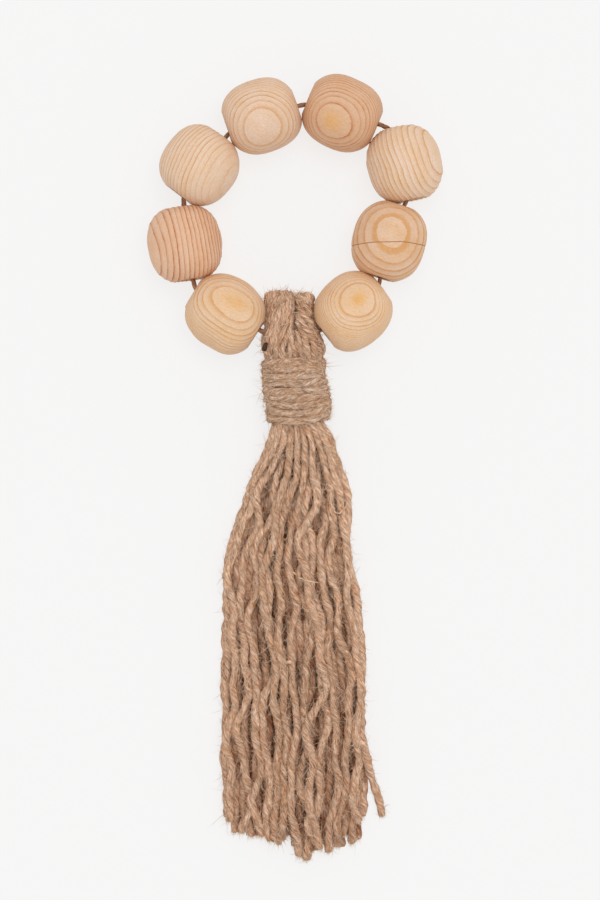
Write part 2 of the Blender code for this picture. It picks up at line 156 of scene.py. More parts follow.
JUTE_STREAKS = (
    (0.30, (0.36, 0.165, 0.080)),
    (0.42, (0.63, 0.375, 0.230)),
    (0.56, (0.84, 0.610, 0.450)),
    (0.70, (1.00, 0.860, 0.720)),
)
JUTE_GOLD = (0.97, 0.82, 0.64)
# The dullest twine's share of the full shade.
JUTE_DULL = (0.82, 0.78, 0.74)
FUZZ_TONES = ((0.32, (0.56, 0.33, 0.19)), (0.60, (1.00, 0.80, 0.60)))
# The patterns are laid out in millimetres.
MM = 1000.0
UP = np.array((0.0, 0.0, 1.0))

# Twine. Its lay is the length of one full turn of its plies.
TWINE_RADIUS = 0.00156
LAYER_TWINE_RADII = (0.00170, 0.00164, 0.00160, 0.00160)
# The strands on the floor are pressed a little flat and wide.
PRESSED = (0.90, 1.44)
TWINE_LAY = 0.0110
SKIRT_LAY = 0.0155
SKIRT_SOFT = 0.80
LAY_UNEVEN = (0.85, 1.3)
TWINE_STEP = 0.00105
PLIES = 3
PLY_RADIUS = 0.69
PLY_OFFSET = 0.31
PLY_POINTS = 5
PLY_UNEVEN = 0.15
PLY_WAVES = (0.012, 0.022)
TWIST_UNEVEN = 0.75
TWIST_UNEVEN_LENGTHS = (0.021, 0.047)
LUMP_SIZE = 0.050
LUMP_LENGTHS = (0.0065, 0.011, 0.031)
# How far a twine's first and last point stand out, and the most mm its fibre pattern is shifted.
CAP_RISE = (0.0002, 0.0003)
FIBRE_SHIFT = 400
END_LENGTH = 0.0024
END_SHARES = (0.55, 0.95)
# How far off the cut line a strand may end, and how much further out that line is read.
END_OFFSETS = (-0.0018, 0.0006)
TIP_WIDEN = 1.06

# Strands, as in the model.
STRAND_SIDE = 0.0023
STRAND_GAP = 0.00036
ROOT_ROWS = (
    # height, layers of the strands from left to right
    (0.00460, "00000000"),
    (0.00735, "000000000"),
    (0.01010, "1111111111"),
    (0.01285, "112222211"),
    (0.01560, "22322322"),
)
ROOT_Y = 0.0105
ROOT_X = 0.0023
ROOT_PITCH = 0.00272
LAYERS = (
    # share of the width that the layer spreads over, sway to each side
    (1.00, 0.0007),
    (1.00, 0.0018),
    (0.92, 0.0024),
    (0.30, 0.0030),
)
LAYER_PITCH = 0.0027
SWAY_LENGTHS = (0.046, 0.066, 0.105)
LEAST_SWAY = 0.35
SWAY_SEED = 21
STATIONS = 17
STATION_POWER = 1.2
SETTLE_LENGTH = 0.034
CALM_LENGTH = 0.060
EDGE_CALM = 0.6
SETTLE_PASSES = 900
FADE_SHARE = 0.75
STIFFNESS = 0.12
AIM_PULL = 0.10
SINK_STEP = 0.0001
PUSH_SHARE = 0.35
PUSH_MARGIN = 1.01
SIDEWAYS_FAVOUR = 0.6
PUSHES = 4
SKIRT = (
    # y, left, right
    (0.0105, -0.0112, 0.0158), (0.0040, -0.0136, 0.0183), (-0.0045, -0.0175, 0.0203),
    (-0.0085, -0.0193, 0.0214), (-0.0160, -0.0216, 0.0218), (-0.0240, -0.0246, 0.0219),
    (-0.0320, -0.0270, 0.0223), (-0.0430, -0.0284, 0.0234), (-0.0550, -0.0282, 0.0262),
    (-0.0670, -0.0284, 0.0280), (-0.0860, -0.0290, 0.0272), (-0.1070, -0.0286, 0.0280),
    (-0.1170, -0.0286, 0.0284), (-0.1300, -0.0286, 0.0286), (-0.1533, -0.0275, 0.0290),
)
TIPS = (
    # x, y of the cut end there
    (-0.0285, -0.1360), (-0.0258, -0.1362), (-0.0238, -0.1425), (-0.0190, -0.1424),
    (-0.0165, -0.1450), (-0.0120, -0.1434), (-0.0060, -0.1458), (-0.0004, -0.1446),
    (0.0018, -0.1525), (0.0043, -0.1533), (0.0066, -0.1526), (0.0090, -0.1488),
    (0.0113, -0.1474), (0.0160, -0.1498), (0.0183, -0.1502), (0.0205, -0.1420),
    (0.0230, -0.1470), (0.0254, -0.1474), (0.0277, -0.1392), (0.0300, -0.1365),
    (0.0345, -0.1373),
)

# One strand at the right swings out from the rest near its end, here further than in the model.
STRAY_LAYER = 1
STRAY_START_Y = -0.1040
STRAY_LENGTH = 0.033
STRAY_REACH = 0.0056
STRAY_FURTHER = 0.30

# The strands' finer waves, and their way up into the neck.
FINE_STATIONS = 110
FINE_SEED = 5
FINE_WAVES = (0.0002, 0.0009, 0.0016, 0.0021)
FINE_WAVE_SHARES = (0.3, 1.0)
FINE_WAVE_LENGTHS = (0.024, 0.037, 0.055, 0.090)
FINE_WAVE_STRETCH = (0.85, 1.2)
FINE_CALM_LENGTH = 0.02
FINE_LIFT = 0.45
FINE_FLOOR = 0.96
FINE_STIFFNESS = 0.022
FINE_PASSES = 60
FINE_REACH = 0.0029
FINE_PUSH = 0.25
FINE_EDGES = (0.00220, 0.00150, 0.00150, 0.00150)
FINE_EDGE_WAVE = 0.00045
FINE_EDGE_LENGTH = 0.022
FINE_EDGE_SEEDS = (61, 62)
# A strand is buried, and darkened with painted shade, where others stand on both sides, within this
# reach and this much higher.
PAINTED_SHADE_REACH = 0.0036
PAINTED_SHADE_FULL = 0.0021
# The twine gets a little darker and browner with painted shade towards its cut ends.
END_PAINTED_SHADE = 0.30
# The painted shade fades out this near to its end and to the skirt's edges. Along the first stretch
# below the wrapping it also does below a height, where the strand can be seen from the sides.
OPEN_END = 0.009
OPEN_EDGE = 0.0045
OPEN_NECK = 0.030
OPEN_BELOW = 0.011
NECK_RISE = (
    # y, share of the way from the roots' places to the neck's
    (0.0135, 0.30), (0.0165, 0.72), (0.0200, 1.00), (0.0260, 1.00),
)
NECK_CENTRE = (0.00115, 0.0096)
NECK_SHRINK = (0.68, 0.90)
ROOT_CENTRE_Z = 0.0101
NECK_TWINE_SHARE = 0.80
SPREAD_TWINE_Y = -0.012


def read_table(table, y):
    """The table's columns after y, read at the given values of y."""
    rows = np.array(table)
    rows = rows[np.argsort(rows[:, 0])]
    return [np.interp(y, rows[:, 0], rows[:, column]) for column in range(1, rows.shape[1])]


def unit(vectors):
    return vectors / np.linalg.norm(vectors, axis=-1, keepdims=True)


def ripple(length, wave, rng):
    """A sine of the length, with a random start."""
    return np.sin(2 * math.pi * length / wave + rng.uniform(0, 2 * math.pi))


def smooth_noise(points, length, seed, terms=7):
    """A smooth random value from about -1 to 1 at each point, with waves of about one length."""
    rng = np.random.default_rng(seed)
    total = np.zeros(points.shape[:-1])
    for _ in range(terms):
        way = unit(rng.normal(size=points.shape[-1]))
        total += ripple(points @ way, length * rng.uniform(0.7, 1.8), rng)
    return total / terms**0.5


def rounded(turn, power):
    """Both coordinates, from -1 to 1, of a rounded square's outline at an angle."""
    return [np.sign(way) * np.abs(way) ** (2 / power) for way in (np.cos(turn), np.sin(turn))]


def level_way(degrees):
    """The level direction at an angle from +X."""
    turn = math.radians(degrees)
    return np.array((math.cos(turn), math.sin(turn), 0.0))


def cubic(t, start, start_way, end, end_way, span):
    """The point at a share t of a curve between two points, with a direction at each."""
    return (
        (2 * t**3 - 3 * t**2 + 1) * start
        + (t**3 - 2 * t**2 + t) * span * start_way
        + (3 * t**2 - 2 * t**3) * end
        + (t**3 - t**2) * span * end_way
    )


# ---------------------------------------------------------------- materials


def new_material(name, roughness, specular):
    material = bpy.data.materials.new(name)
    material.use_nodes = True
    shader = material.node_tree.nodes["Principled BSDF"]
    shader.inputs["Roughness"].default_value = roughness
    shader.inputs["Specular IOR Level"].default_value = specular
    return material, material.node_tree, shader


def add_node(tree, kind, links=(), values=(), **settings):
    """A node with its settings, its fixed inputs and the sockets that feed it."""
    node = tree.nodes.new(kind)
    for key, value in settings.items():
        setattr(node, key, value)
    for socket, value in dict(values).items():
        node.inputs[socket].default_value = value
    for socket, source in dict(links).items():
        tree.links.new(source, node.inputs[socket])
    return node


def attribute(tree, name, output="Fac"):
    return add_node(tree, "ShaderNodeAttribute", attribute_name=name).outputs[output]


def noise(tree, vector, stretch, detail=3.0, roughness=0.55):
    """Noise at the vector times stretch, so a small stretch makes long streaks along that axis."""
    scaled = add_node(tree, "ShaderNodeVectorMath", {0: vector}, {1: stretch}, operation="MULTIPLY")
    settings = {"Scale": 1.0, "Detail": detail, "Roughness": roughness}
    made = add_node(tree, "ShaderNodeTexNoise", {"Vector": scaled.outputs[0]}, settings)
    return made.outputs["Fac"]


def ramp(tree, factor, stops):
    """A colour ramp. Each stop is its position and a colour or a single grey."""
    node = add_node(tree, "ShaderNodeValToRGB", {"Fac": factor})
    elements = node.color_ramp.elements
    while len(elements) < len(stops):
        elements.new(1.0)
    for element, (position, colour) in zip(elements, stops):
        grey = isinstance(colour, (int, float))
        element.position = position
        element.color = (colour, colour, colour, 1.0) if grey else (*colour, 1.0)
    return node.outputs["Color"]


def maths(tree, operation, first, second=None):
    """A Math node. Either input may be a socket or a number."""
    node = add_node(tree, "ShaderNodeMath", operation=operation)
    for index, value in enumerate((first, second)):
        if isinstance(value, (int, float)):
            node.inputs[index].default_value = value
        elif value is not None:
            tree.links.new(value, node.inputs[index])
    return node.outputs[0]


def times(tree, first, second):
    return maths(tree, "MULTIPLY", first, second)


def plus(tree, first, second):
    return maths(tree, "ADD", first, second)


def mix(tree, factor, first, second, blend="MIX"):
    """A colour Mix node. The factor and both colours may be sockets or fixed values."""
    node = add_node(tree, "ShaderNodeMix", data_type="RGBA", blend_type=blend)
    for index, value in ((0, factor), (6, first), (7, second)):
        if isinstance(value, bpy.types.NodeSocket):
            tree.links.new(value, node.inputs[index])
        elif isinstance(value, tuple):
            node.inputs[index].default_value = (*value, 1.0)
        else:
            node.inputs[index].default_value = value
    return node.outputs[2]


def shaded(tree, colour, factor, stops, share=1.0):
    """The colour, darkened or lightened by a grey ramp of the factor."""
    return mix(tree, share, colour, ramp(tree, factor, stops), "MULTIPLY")


def finish_surface(tree, shader, colour, height, strength, distance):
    """Give the shader its colour, and its height as a bump."""
    tree.links.new(colour, shader.inputs["Base Color"])
    amounts = {"Strength": strength, "Distance": distance}
    bump = add_node(tree, "ShaderNodeBump", {"Height": height}, amounts)
    tree.links.new(bump.outputs[0], shader.inputs["Normal"])


def jute_material(name, shade, groove_shade=GROOVE_PAINTED_SHADE):
    """Hairy twine: long fibre streaks, golden and grey patches, painted shade in the grooves
    between the plies and where the twine lies buried.
    """
    material, tree, shader = new_material(name, 0.95, 0.03)
    fibre = attribute(tree, "fibre", "Vector")
    streak = noise(tree, fibre, (2.1, 2.1, 0.30), 4.0, 0.62)
    mottle = noise(tree, fibre, (1.3, 1.3, 0.55), 3.0, 0.60)
    patch = noise(tree, fibre, (0.22, 0.22, 0.055), 2.0)
    hair = noise(tree, fibre, (5.0, 5.0, 0.60), 3.0, 0.65)
    warmth = ramp(tree, patch, ((0.46, 0.0), (0.70, 0.45)))
    golden = mix(tree, warmth, ramp(tree, streak, JUTE_STREAKS), JUTE_GOLD, "MULTIPLY")
    mottled = shaded(tree, golden, mottle, ((0.33, 0.62), (0.62, 1.20)))
    lined = shaded(tree, mottled, hair, ((0.30, 0.62), (0.62, 1.14)), 0.6)
    # Painted shade in the grooves between the plies, deepest at their bottoms.
    sunk = times(tree, attribute(tree, "depth"), 0.62)
    groove_shaded = mix(tree, sunk, lined, groove_shade, "MULTIPLY")
    # Painted shade where a twine lies buried between higher ones.
    buried_shade = mix(tree, attribute(tree, "painted_shade"), groove_shaded, PAINTED_SHADE_TINT, "MULTIPLY")
    dull = tuple(shade * share for share in JUTE_DULL)
    own = ramp(tree, attribute(tree, "tint"), ((0.0, dull), (1.0, shade)))
    final = mix(tree, 1.0, buried_shade, own, "MULTIPLY")
    height = plus(tree, streak, times(tree, hair, 0.8))
    finish_surface(tree, shader, final, height, 0.70, 0.00030)
    return material


def fuzz_material(name):
    """Single loose fibres, pale with a little variation."""
    material, tree, shader = new_material(name, 0.95, 0.03)
    tone = noise(tree, attribute(tree, "fibre", "Vector"), (0.9, 0.9, 0.9), 2.0)
    tree.links.new(ramp(tree, tone, FUZZ_TONES), shader.inputs["Base Color"])
    return material


def ring_shade(tree, phase, grain):
    """How dark the latewood is at a depth in rings, and that depth once its lines are warped."""
    warp = maths(tree, "SUBTRACT", noise(tree, grain, (0.30, 0.8, 0.8)), 0.5)
    place = plus(tree, phase, times(tree, warp, RING_WARP))
    number = maths(tree, "FLOOR", place)
    chance = add_node(tree, "ShaderNodeTexWhiteNoise", {"W": number}, noise_dimensions="1D")
    dark = ramp(tree, maths(tree, "FRACT", place), RING_DARKNESS)
    least, more = RING_STRENGTH
    own = plus(tree, times(tree, chance.outputs["Value"], more), least)
    uneven = ramp(tree, noise(tree, grain, (0.10, 0.16, 0.16), 2.0), ((0.36, 0.55), (0.60, 1.0)))
    outside = maths(tree, "GREATER_THAN", place, 0.0)
    return times(tree, times(tree, dark, times(tree, own, uneven)), outside), place


def pine_material(name, tint):
    """Softwood with growth rings read from the mesh, so they match its relief."""
    early, warm, late = TINTS[tint]
    material, tree, shader = new_material(name, 0.60, 0.28)
    grain = attribute(tree, "grain", "Vector")
    above = attribute(tree, "above_joint")
    is_below = maths(tree, "LESS_THAN", above, 0.0)
    upper = ring_shade(tree, attribute(tree, "ring"), grain)
    lower = ring_shade(tree, attribute(tree, "ring_below"), grain)
    dark, place = [
        add_node(tree, "ShaderNodeMix", {0: is_below, 2: over, 3: under}).outputs[0]
        for over, under in zip(upper, lower)
    ]
    blotch = noise(tree, grain, (0.07, 0.16, 0.16), 2.0)
    ground = mix(tree, ramp(tree, blotch, ((0.38, 0.0), (0.64, 1.0))), early, warm)
    from_first = times(tree, plus(tree, place, 1.0), 0.5)
    halo = times(tree, ramp(tree, from_first, HALO_SHAPE), attribute(tree, "halo"))
    warmed = mix(tree, times(tree, halo, HALO_STRENGTH), ground, HALO_TINT)
    spotted = mix(tree, attribute(tree, "spot"), warmed, SPOT_TINT)
    dark = times(tree, dark, maths(tree, "SUBTRACT", 1.0, halo))
    dark = times(tree, dark, attribute(tree, "strength"))
    ringed = mix(tree, dark, spotted, late)
    streak = noise(tree, grain, (0.45, 3.2, 3.2), 4.0, 0.65)
    speck = noise(tree, grain, (1.6, 4.0, 4.0), 3.0, 0.65)
    fine = shaded(tree, ringed, streak, ((0.32, 0.88), (0.66, 1.06)))
    flecked = shaded(tree, fine, speck, ((0.34, 0.90), (0.60, 1.03)))
    near = times(tree, maths(tree, "ABSOLUTE", above), MM)
    final = mix(tree, ramp(tree, near, JOINT_LINE), flecked, JOINT_TINT)
    height = plus(tree, times(tree, dark, 0.6), times(tree, streak, 0.5))
    finish_surface(tree, shader, final, height, 0.18, 0.00014)
    return material


# ---------------------------------------------------------------- meshes


def place_object(name, data):
    made = bpy.data.objects.new(name, data)
    bpy.context.scene.collection.objects.link(made)
    return made


def new_piece(name, points, faces, material, values, vectors, slot, *nodes):
    """A smooth mesh with its point attributes, riding on the model in place of its nodes."""
    mesh = bpy.data.meshes.new(name)
    mesh.from_pydata(points.tolist(), [], faces)
    mesh.shade_smooth()
    for kind, field, table in (("FLOAT", "value", values), ("FLOAT_VECTOR", "vector", vectors)):
        for key, data in table.items():
            layer = mesh.attributes.new(key, kind, "POINT")
            layer.data.foreach_set(field, np.ascontiguousarray(data, dtype=np.float32).ravel())
    mesh.materials.append(material)
    made = place_object(name, mesh)
    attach(made, "root")
    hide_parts(*nodes)


def grid_faces(rows, columns, start, closed_rows=False):
    """Quads of a tube whose points run round each row and then on to the next row."""
    row = np.arange(rows if closed_rows else rows - 1)[:, None]
    here = row * columns
    there = (row + 1) % rows * columns
    column = np.arange(columns)[None, :]
    beside = (column + 1) % columns
    quads = np.stack((here + column, here + beside, there + beside, there + column), axis=-1)
    return (quads.reshape(-1, 4) + start).tolist()


# ---------------------------------------------------------------- beads


def bead_profile(half_length, radius):
    """Points (along the bore, from the axis) of one drilled barrel's whole section."""
    share = BEAD_END_SHARE**BEAD_POWER
    first = math.asin((1 - share) ** 0.5)
    angle = np.linspace(first, math.pi - first, BEAD_PROFILE_STEPS + 1)
    along, out = rounded(angle, BEAD_POWER)
    along, out = half_length * along, radius * out
    end = half_length * BEAD_END_SHARE
    ends = np.array([
        (-end, (out[-1] + MOUTH_RADIUS) / 2),
        (-end, MOUTH_RADIUS),
        (-end + MOUTH_DEPTH, BORE_RADIUS),
        (0.0, BORE_RADIUS),
        (end - MOUTH_DEPTH, BORE_RADIUS),
        (end, MOUTH_RADIUS),
        (end, (out[0] + MOUTH_RADIUS) / 2),
    ])
    return np.concatenate((np.stack((along, out), axis=1), ends))


def ring_phase(points, radius, rings, bore):
    """How many growth rings deep each point lies, the grain's own axes there in mm and the spot."""
    facing = unit(np.array(rings[:3]))
    first, spacing, closing, bow, _, spot, _, _, seed = rings[3:]
    helper = (0.0, 0.0, 1.0) if abs(facing[2]) < 0.8 else (0.4, 1.0, 0.0)
    grain_way = unit(np.cross(facing, helper))
    third = np.cross(facing, grain_way)
    wander = RING_WANDER * smooth_noise(points, RING_WANDER_LENGTH, seed)
    below = radius - points @ facing
    beside = (points - radius * facing) @ bore
    depth = below + wander - first + bow * beside**2
    phase = depth / spacing * (1 + closing * depth / spacing)
    grain = np.stack((points @ grain_way, points @ facing, points @ third), axis=-1) * MM
    centre = spot * np.exp(-((depth - depth.min()) / SPOT_DEPTH))
    return phase, grain + seed * 40, centre


def latewood_relief(phase):
    """The ridge that latewood leaves: a sharp rise on one side and a long slope on the other."""
    return np.where(phase < 0, 0.0, np.interp(phase % 1.0, *RING_RIDGE))


def build_bead(number, bead, rings):
    """One drilled barrel with its growth rings raised, in its place on the floor."""
    x, y, heading, half_length, radius = bead
    height, _, halo, tint, _ = rings[7:]
    profile = bead_profile(half_length, radius)
    angle = 2 * math.pi * np.arange(BEAD_SEGMENTS) / BEAD_SEGMENTS
    side = np.cos(angle)[:, None] * profile[:, 1]
    up = np.sin(angle)[:, None] * profile[:, 1]
    bore = level_way(heading)
    left = np.array((-bore[1], bore[0], 0.0))
    points = profile[:, :1] * bore + side[..., None] * left + up[..., None] * UP
    points = points.reshape(-1, 3)
    phase, grain, spot = ring_phase(points, radius, rings, bore)
    phase_below = phase
    above = np.full(len(points), 1.0)
    relief = height * latewood_relief(phase)
    if number == GLUED_BEAD:
        phase_below, _, _ = ring_phase(points, radius, GLUED_RINGS, bore)
        above = points[:, 1] - JOINT_PLACE - JOINT_LEAN * points[:, 2]
        above = above + JOINT_WANDER * smooth_noise(points, JOINT_WANDER_LENGTH, 77)
        relief = height * latewood_relief(np.where(above < 0, phase_below, phase))
        relief = relief - JOINT_DEPTH * np.exp(-((above / JOINT_WIDTH) ** 2))
    strength = np.ones(len(points))
    if number == QUIET_BEAD:
        strength = np.interp(phase, *QUIET_RINGS)
    outer = np.tile(np.arange(len(profile)) <= BEAD_PROFILE_STEPS, BEAD_SEGMENTS)
    lumps = BEAD_SWELL + BEAD_LUMPS * smooth_noise(points, BEAD_LUMP_LENGTH, 100 + number)
    away = unit(points)
    for owner, direction, fuller in BEAD_FORMS:
        if owner == number:
            lumps = lumps + fuller * np.maximum(away @ level_way(direction), 0) ** 2
    points = points + (away * (lumps + relief)[:, None]) * outer[:, None]
    points = points + np.array((x, y, radius - FLAT_SPOT_DEPTH))
    points[:, 2] = np.maximum(points[:, 2], 0.0)
    faces = grid_faces(BEAD_SEGMENTS, len(profile), 0, closed_rows=True)
    values = {
        "ring": phase,
        "ring_below": phase_below,
        "above_joint": above,
        "spot": spot,
        "strength": strength,
        "halo": np.full(len(points), halo),
    }
    wood = pine_material(f"pine_{number}", tint)
    name = f"turned_bead_{number}"
    new_piece(name, points, faces, wood, values, {"grain": grain}, "pine", f"bead_{number}")


# ---------------------------------------------------------------- twine


def ply_outline():
    """The outer line of three plies side by side: places in the section, depth and ply number."""
    half_gap = PLY_OFFSET * math.sin(math.pi / PLIES)
    open_angle = math.pi / 2 + math.pi / PLIES - math.acos(half_gap / PLY_RADIUS)
    places, depths, plies = [], [], []
    for ply in range(PLIES):
        base = 2 * math.pi * ply / PLIES
        for i in range(PLY_POINTS):
            turn = -open_angle + 2 * open_angle * i / PLY_POINTS
            across = PLY_OFFSET + PLY_RADIUS * math.cos(turn)
            aside = PLY_RADIUS * math.sin(turn)
            places.append((
                across * math.cos(base) - aside * math.sin(base),
                across * math.sin(base) + aside * math.cos(base),
            ))
            depths.append(abs(turn / open_angle) ** 3)
            plies.append(ply if i else -1)
    return np.array(places), np.array(depths), np.array(plies)


OUTLINE, OUTLINE_DEPTH, OUTLINE_PLY = ply_outline()


def resample(route, step):
    """The route's points at even steps of its length, and the length at each."""
    steps = np.linalg.norm(np.diff(route[:, :3], axis=0), axis=1)
    lengths = np.concatenate(([0.0], np.cumsum(steps)))
    count = max(3, round(lengths[-1] / step) + 1)
    even = np.linspace(0.0, lengths[-1], count)
    return np.stack([np.interp(even, lengths, column) for column in route.T], axis=1), even


class Twines:
    """Gathers twines as one mesh, and the middle lines that loose fibres grow from."""

    def __init__(self, seed):
        self.rng = np.random.default_rng(seed)
        self.points, self.faces, self.fibre = [], [], []
        self.values = {"depth": [], "tint": [], "painted_shade": []}
        self.count = 0
        self.lines = []

    def add(
        self, route, radius, reference, swell=None, squeeze=(1.0, 1.0), lay=TWINE_LAY, soft=0.0,
        frayed=False,
    ):
        """Add one twine along a route. Its section is laid out from the reference direction."""
        outline = OUTLINE * (1 - soft) + unit(OUTLINE) * soft
        line, length = resample(np.asarray(route), TWINE_STEP)
        # A route's fourth column, where given, is its painted shade.
        painted_shade = line[:, 3] if line.shape[1] > 3 else np.zeros(len(line))
        line = line[:, :3]
        tangent = unit(np.gradient(line, axis=0))
        reference = np.broadcast_to(np.asarray(reference, float), line.shape)
        first = unit(reference - (reference * tangent).sum(1, keepdims=True) * tangent)
        second = np.cross(tangent, first)
        rng = self.rng
        twist = -2 * math.pi * length / (lay * rng.uniform(*LAY_UNEVEN))
        twist = twist + rng.uniform(0, 2 * math.pi)
        for wave in TWIST_UNEVEN_LENGTHS:
            twist = twist + TWIST_UNEVEN * ripple(length, wave, rng)
        size = np.full(len(line), radius) if swell is None else radius * swell(line)
        for wave in LUMP_LENGTHS:
            size = size * (1 + LUMP_SIZE * ripple(length, wave, rng))
        if frayed:
            from_end = np.clip((length[-1] - length) / END_LENGTH, 0, 1)
            end_share = rng.uniform(*END_SHARES)
            size = size * (end_share + (1 - end_share) * from_end**0.5)
        uneven = np.ones((len(line), PLIES + 1))
        for ply in range(PLIES):
            uneven[:, ply] += PLY_UNEVEN * ripple(length, rng.uniform(*PLY_WAVES), rng)
        bulge = uneven[:, OUTLINE_PLY]
        cosine, sine = np.cos(twist)[:, None], np.sin(twist)[:, None]
        across = (outline[:, 0] * cosine - outline[:, 1] * sine) * bulge * size[:, None]
        aside = (outline[:, 0] * sine + outline[:, 1] * cosine) * bulge * size[:, None]
        ring = (
            line[:, None]
            + first[:, None] * across[..., None] * squeeze[0]
            + second[:, None] * aside[..., None] * squeeze[1]
        )
        columns = len(OUTLINE)
        fibre = np.empty(ring.shape)
        fibre[..., :2] = OUTLINE * radius * MM
        fibre[..., 2] = (length * MM + rng.uniform(0, FIBRE_SHIFT))[:, None]
        shade = rng.uniform(0, 1)
        back, on = CAP_RISE
        caps = np.stack((line[0] - back * tangent[0], line[-1] + on * tangent[-1]))
        start = self.count
        total = len(line) * columns
        self.points += [ring.reshape(-1, 3), caps]
        self.fibre += [fibre.reshape(-1, 3), fibre[(0, -1), :].mean(1)]
        self.values["depth"] += [np.tile(OUTLINE_DEPTH, len(line)), np.zeros(2)]
        self.values["tint"] += [np.full(total + 2, shade)]
        self.values["painted_shade"] += [np.repeat(painted_shade, columns), painted_shade[[0, -1]]]
        self.faces += grid_faces(len(line), columns, start)
        last = start + total - columns
        for i in range(columns):
            j = (i + 1) % columns
            self.faces.append((start + i, start + total, start + j))
            self.faces.append((last + i, last + j, start + total + 1))
        self.count += total + 2
        self.lines.append((line, tangent, first, second, size, frayed))

    def build(self, name, material, slot="jute", node="tassel"):
        points = np.concatenate(self.points)
        points[:, 2] = np.maximum(points[:, 2], 0.0)
        values = {key: np.concatenate(parts) for key, parts in self.values.items()}
        vectors = {"fibre": np.concatenate(self.fibre)}
        new_piece(name, points, self.faces, material, values, vectors, slot, node)


# Loose fibres.
HAIR_RADIUS = 0.000105
HAIR_RADII = (0.5, 1.3)
HAIR_TAPER = 0.5
HAIR_SIDES = 3
LINT_SPANS = 2
LONG_SPANS = 4
SKIRT_FUZZ = (
    # short fibres and long ones per metre, least and most lift, mean length
    (2000, 40, (0.2, 1.1), 0.0019),
    (7000, 110, (0.1, 1.0), 0.0019),
    (10200, 180, (0.1, 1.0), 0.0019),
)
HEAD_FUZZ = (6400, 50, (0.2, 1.3), 0.0015)
WRAP_FUZZ = (6400, 60, (0.05, 0.7), 0.0018)
LONG_LENGTH = 0.0030
SHORTEST_HAIR = 0.0006
LONGEST_HAIR = 0.0048
LENGTH_SHAPE = 2.2
# Few of the hairs that point down are kept: each needs more upward lean than a chance value.
KEPT_LEAN = (-1.0, 0.1)
HAIR_ROOT = 0.80
FORWARD_SHARE = 0.6
HAIR_ASIDE = 0.6
HAIR_BEND = 0.95
HAIR_DROOP = 0.6
HAIR_TONES = 60
# The brush of short fibres at each frayed end.
BRUSH_HAIRS = 26
BRUSH_WIDTH = 0.50
BRUSH_ROOT = 0.0004
BRUSH_SPREAD = 0.30
BRUSH_BEND = 0.45
BRUSH_LENGTHS = (0.0006, 0.0024)


def hair_mesh(start, way, bend, length, radius, spans):
    """Points and faces of many curved hairs: three-sided tubes, each closed to a point."""
    t = np.linspace(0, 1, spans + 1)[None, :, None]
    way, bend = way[:, None], bend[:, None]
    middle = start[:, None] + length[:, None, None] * (t * way + 0.5 * t**2 * bend)
    tangent = unit(way + t * bend)
    helper = np.where(np.abs(tangent[..., 2:]) < 0.9, (0.0, 0.0, 1.0), (1.0, 0.0, 0.0))
    first = unit(np.cross(tangent, helper))
    second = np.cross(tangent, first)
    width = radius[:, None, None] * (1 - HAIR_TAPER * t)
    sides = []
    for i in range(HAIR_SIDES):
        angle = 2 * math.pi * i / HAIR_SIDES
        sides.append(middle + width * (math.cos(angle) * first + math.sin(angle) * second))
    rings = np.stack(sides, axis=2)[:, :-1].reshape(len(start), -1, 3)
    points = np.concatenate((rings, middle[:, -1:]), axis=1)
    tip = HAIR_SIDES * spans
    base = tip + 1
    last = tip - HAIR_SIDES
    corners = [(i, (i + 1) % HAIR_SIDES) for i in range(HAIR_SIDES)]
    triangles = np.array([(last + i, last + j, tip) for i, j in corners] + [(2, 1, 0)])
    quads = np.array(grid_faces(spans, HAIR_SIDES, 0))
    each = base * np.arange(len(start))[:, None, None]
    faces = (quads[None] + each).reshape(-1, 4).tolist()
    faces += (triangles[None] + each).reshape(-1, 3).tolist()
    return points.reshape(-1, 3), faces, base


def lay_hairs(groups, density, lift, length, rng):
    """Roots, directions, bends and lengths of loose fibres all along the twines."""
    found = []
    for line, tangent, first, second, size, _ in groups:
        count = rng.poisson(len(line) * TWINE_STEP * density)
        at = rng.integers(1, len(line) - 1, count)
        turn = rng.uniform(0, 2 * math.pi, count)
        out = first[at] * np.cos(turn)[:, None] + second[at] * np.sin(turn)[:, None]
        kept = out[:, 2] > rng.uniform(*KEPT_LEAN, len(out))
        at, out = at[kept], out[kept]
        aside = np.cross(tangent[at], out)
        sign = np.where(rng.uniform(size=len(at)) < FORWARD_SHARE, 1.0, -1.0)[:, None]
        rise = rng.uniform(*lift, len(at))[:, None]
        lean = aside * rng.normal(0, HAIR_ASIDE, (len(at), 1))
        way = unit(tangent[at] * sign + out * rise + lean)
        bend = rng.normal(0, HAIR_BEND, (len(at), 3)) - HAIR_DROOP * out
        reach = rng.gamma(LENGTH_SHAPE, length / LENGTH_SHAPE, len(at)) + SHORTEST_HAIR
        root = line[at] + out * (size[at] * HAIR_ROOT)[:, None]
        found.append((root, way, bend, np.minimum(reach, LONGEST_HAIR)))
    return [np.concatenate(parts) for parts in zip(*found)]


def lay_brushes(groups, rng):
    """The same for the brush of short fibres at each frayed end."""
    found = []
    for line, tangent, first, second, size, frayed in groups:
        if not frayed:
            continue
        spot = rng.normal(0, BRUSH_WIDTH, (BRUSH_HAIRS, 2)) * size[-1]
        start = line[-1] + first[-1] * spot[:, :1] + second[-1] * spot[:, 1:]
        start = start - BRUSH_ROOT * tangent[-1]
        way = unit(tangent[-1] + rng.normal(0, BRUSH_SPREAD, (BRUSH_HAIRS, 3)))
        bend = rng.normal(0, BRUSH_BEND, (BRUSH_HAIRS, 3))
        found.append((start, way, bend, rng.uniform(*BRUSH_LENGTHS, BRUSH_HAIRS)))
    return [np.concatenate(parts) for parts in zip(*found)] if found else None


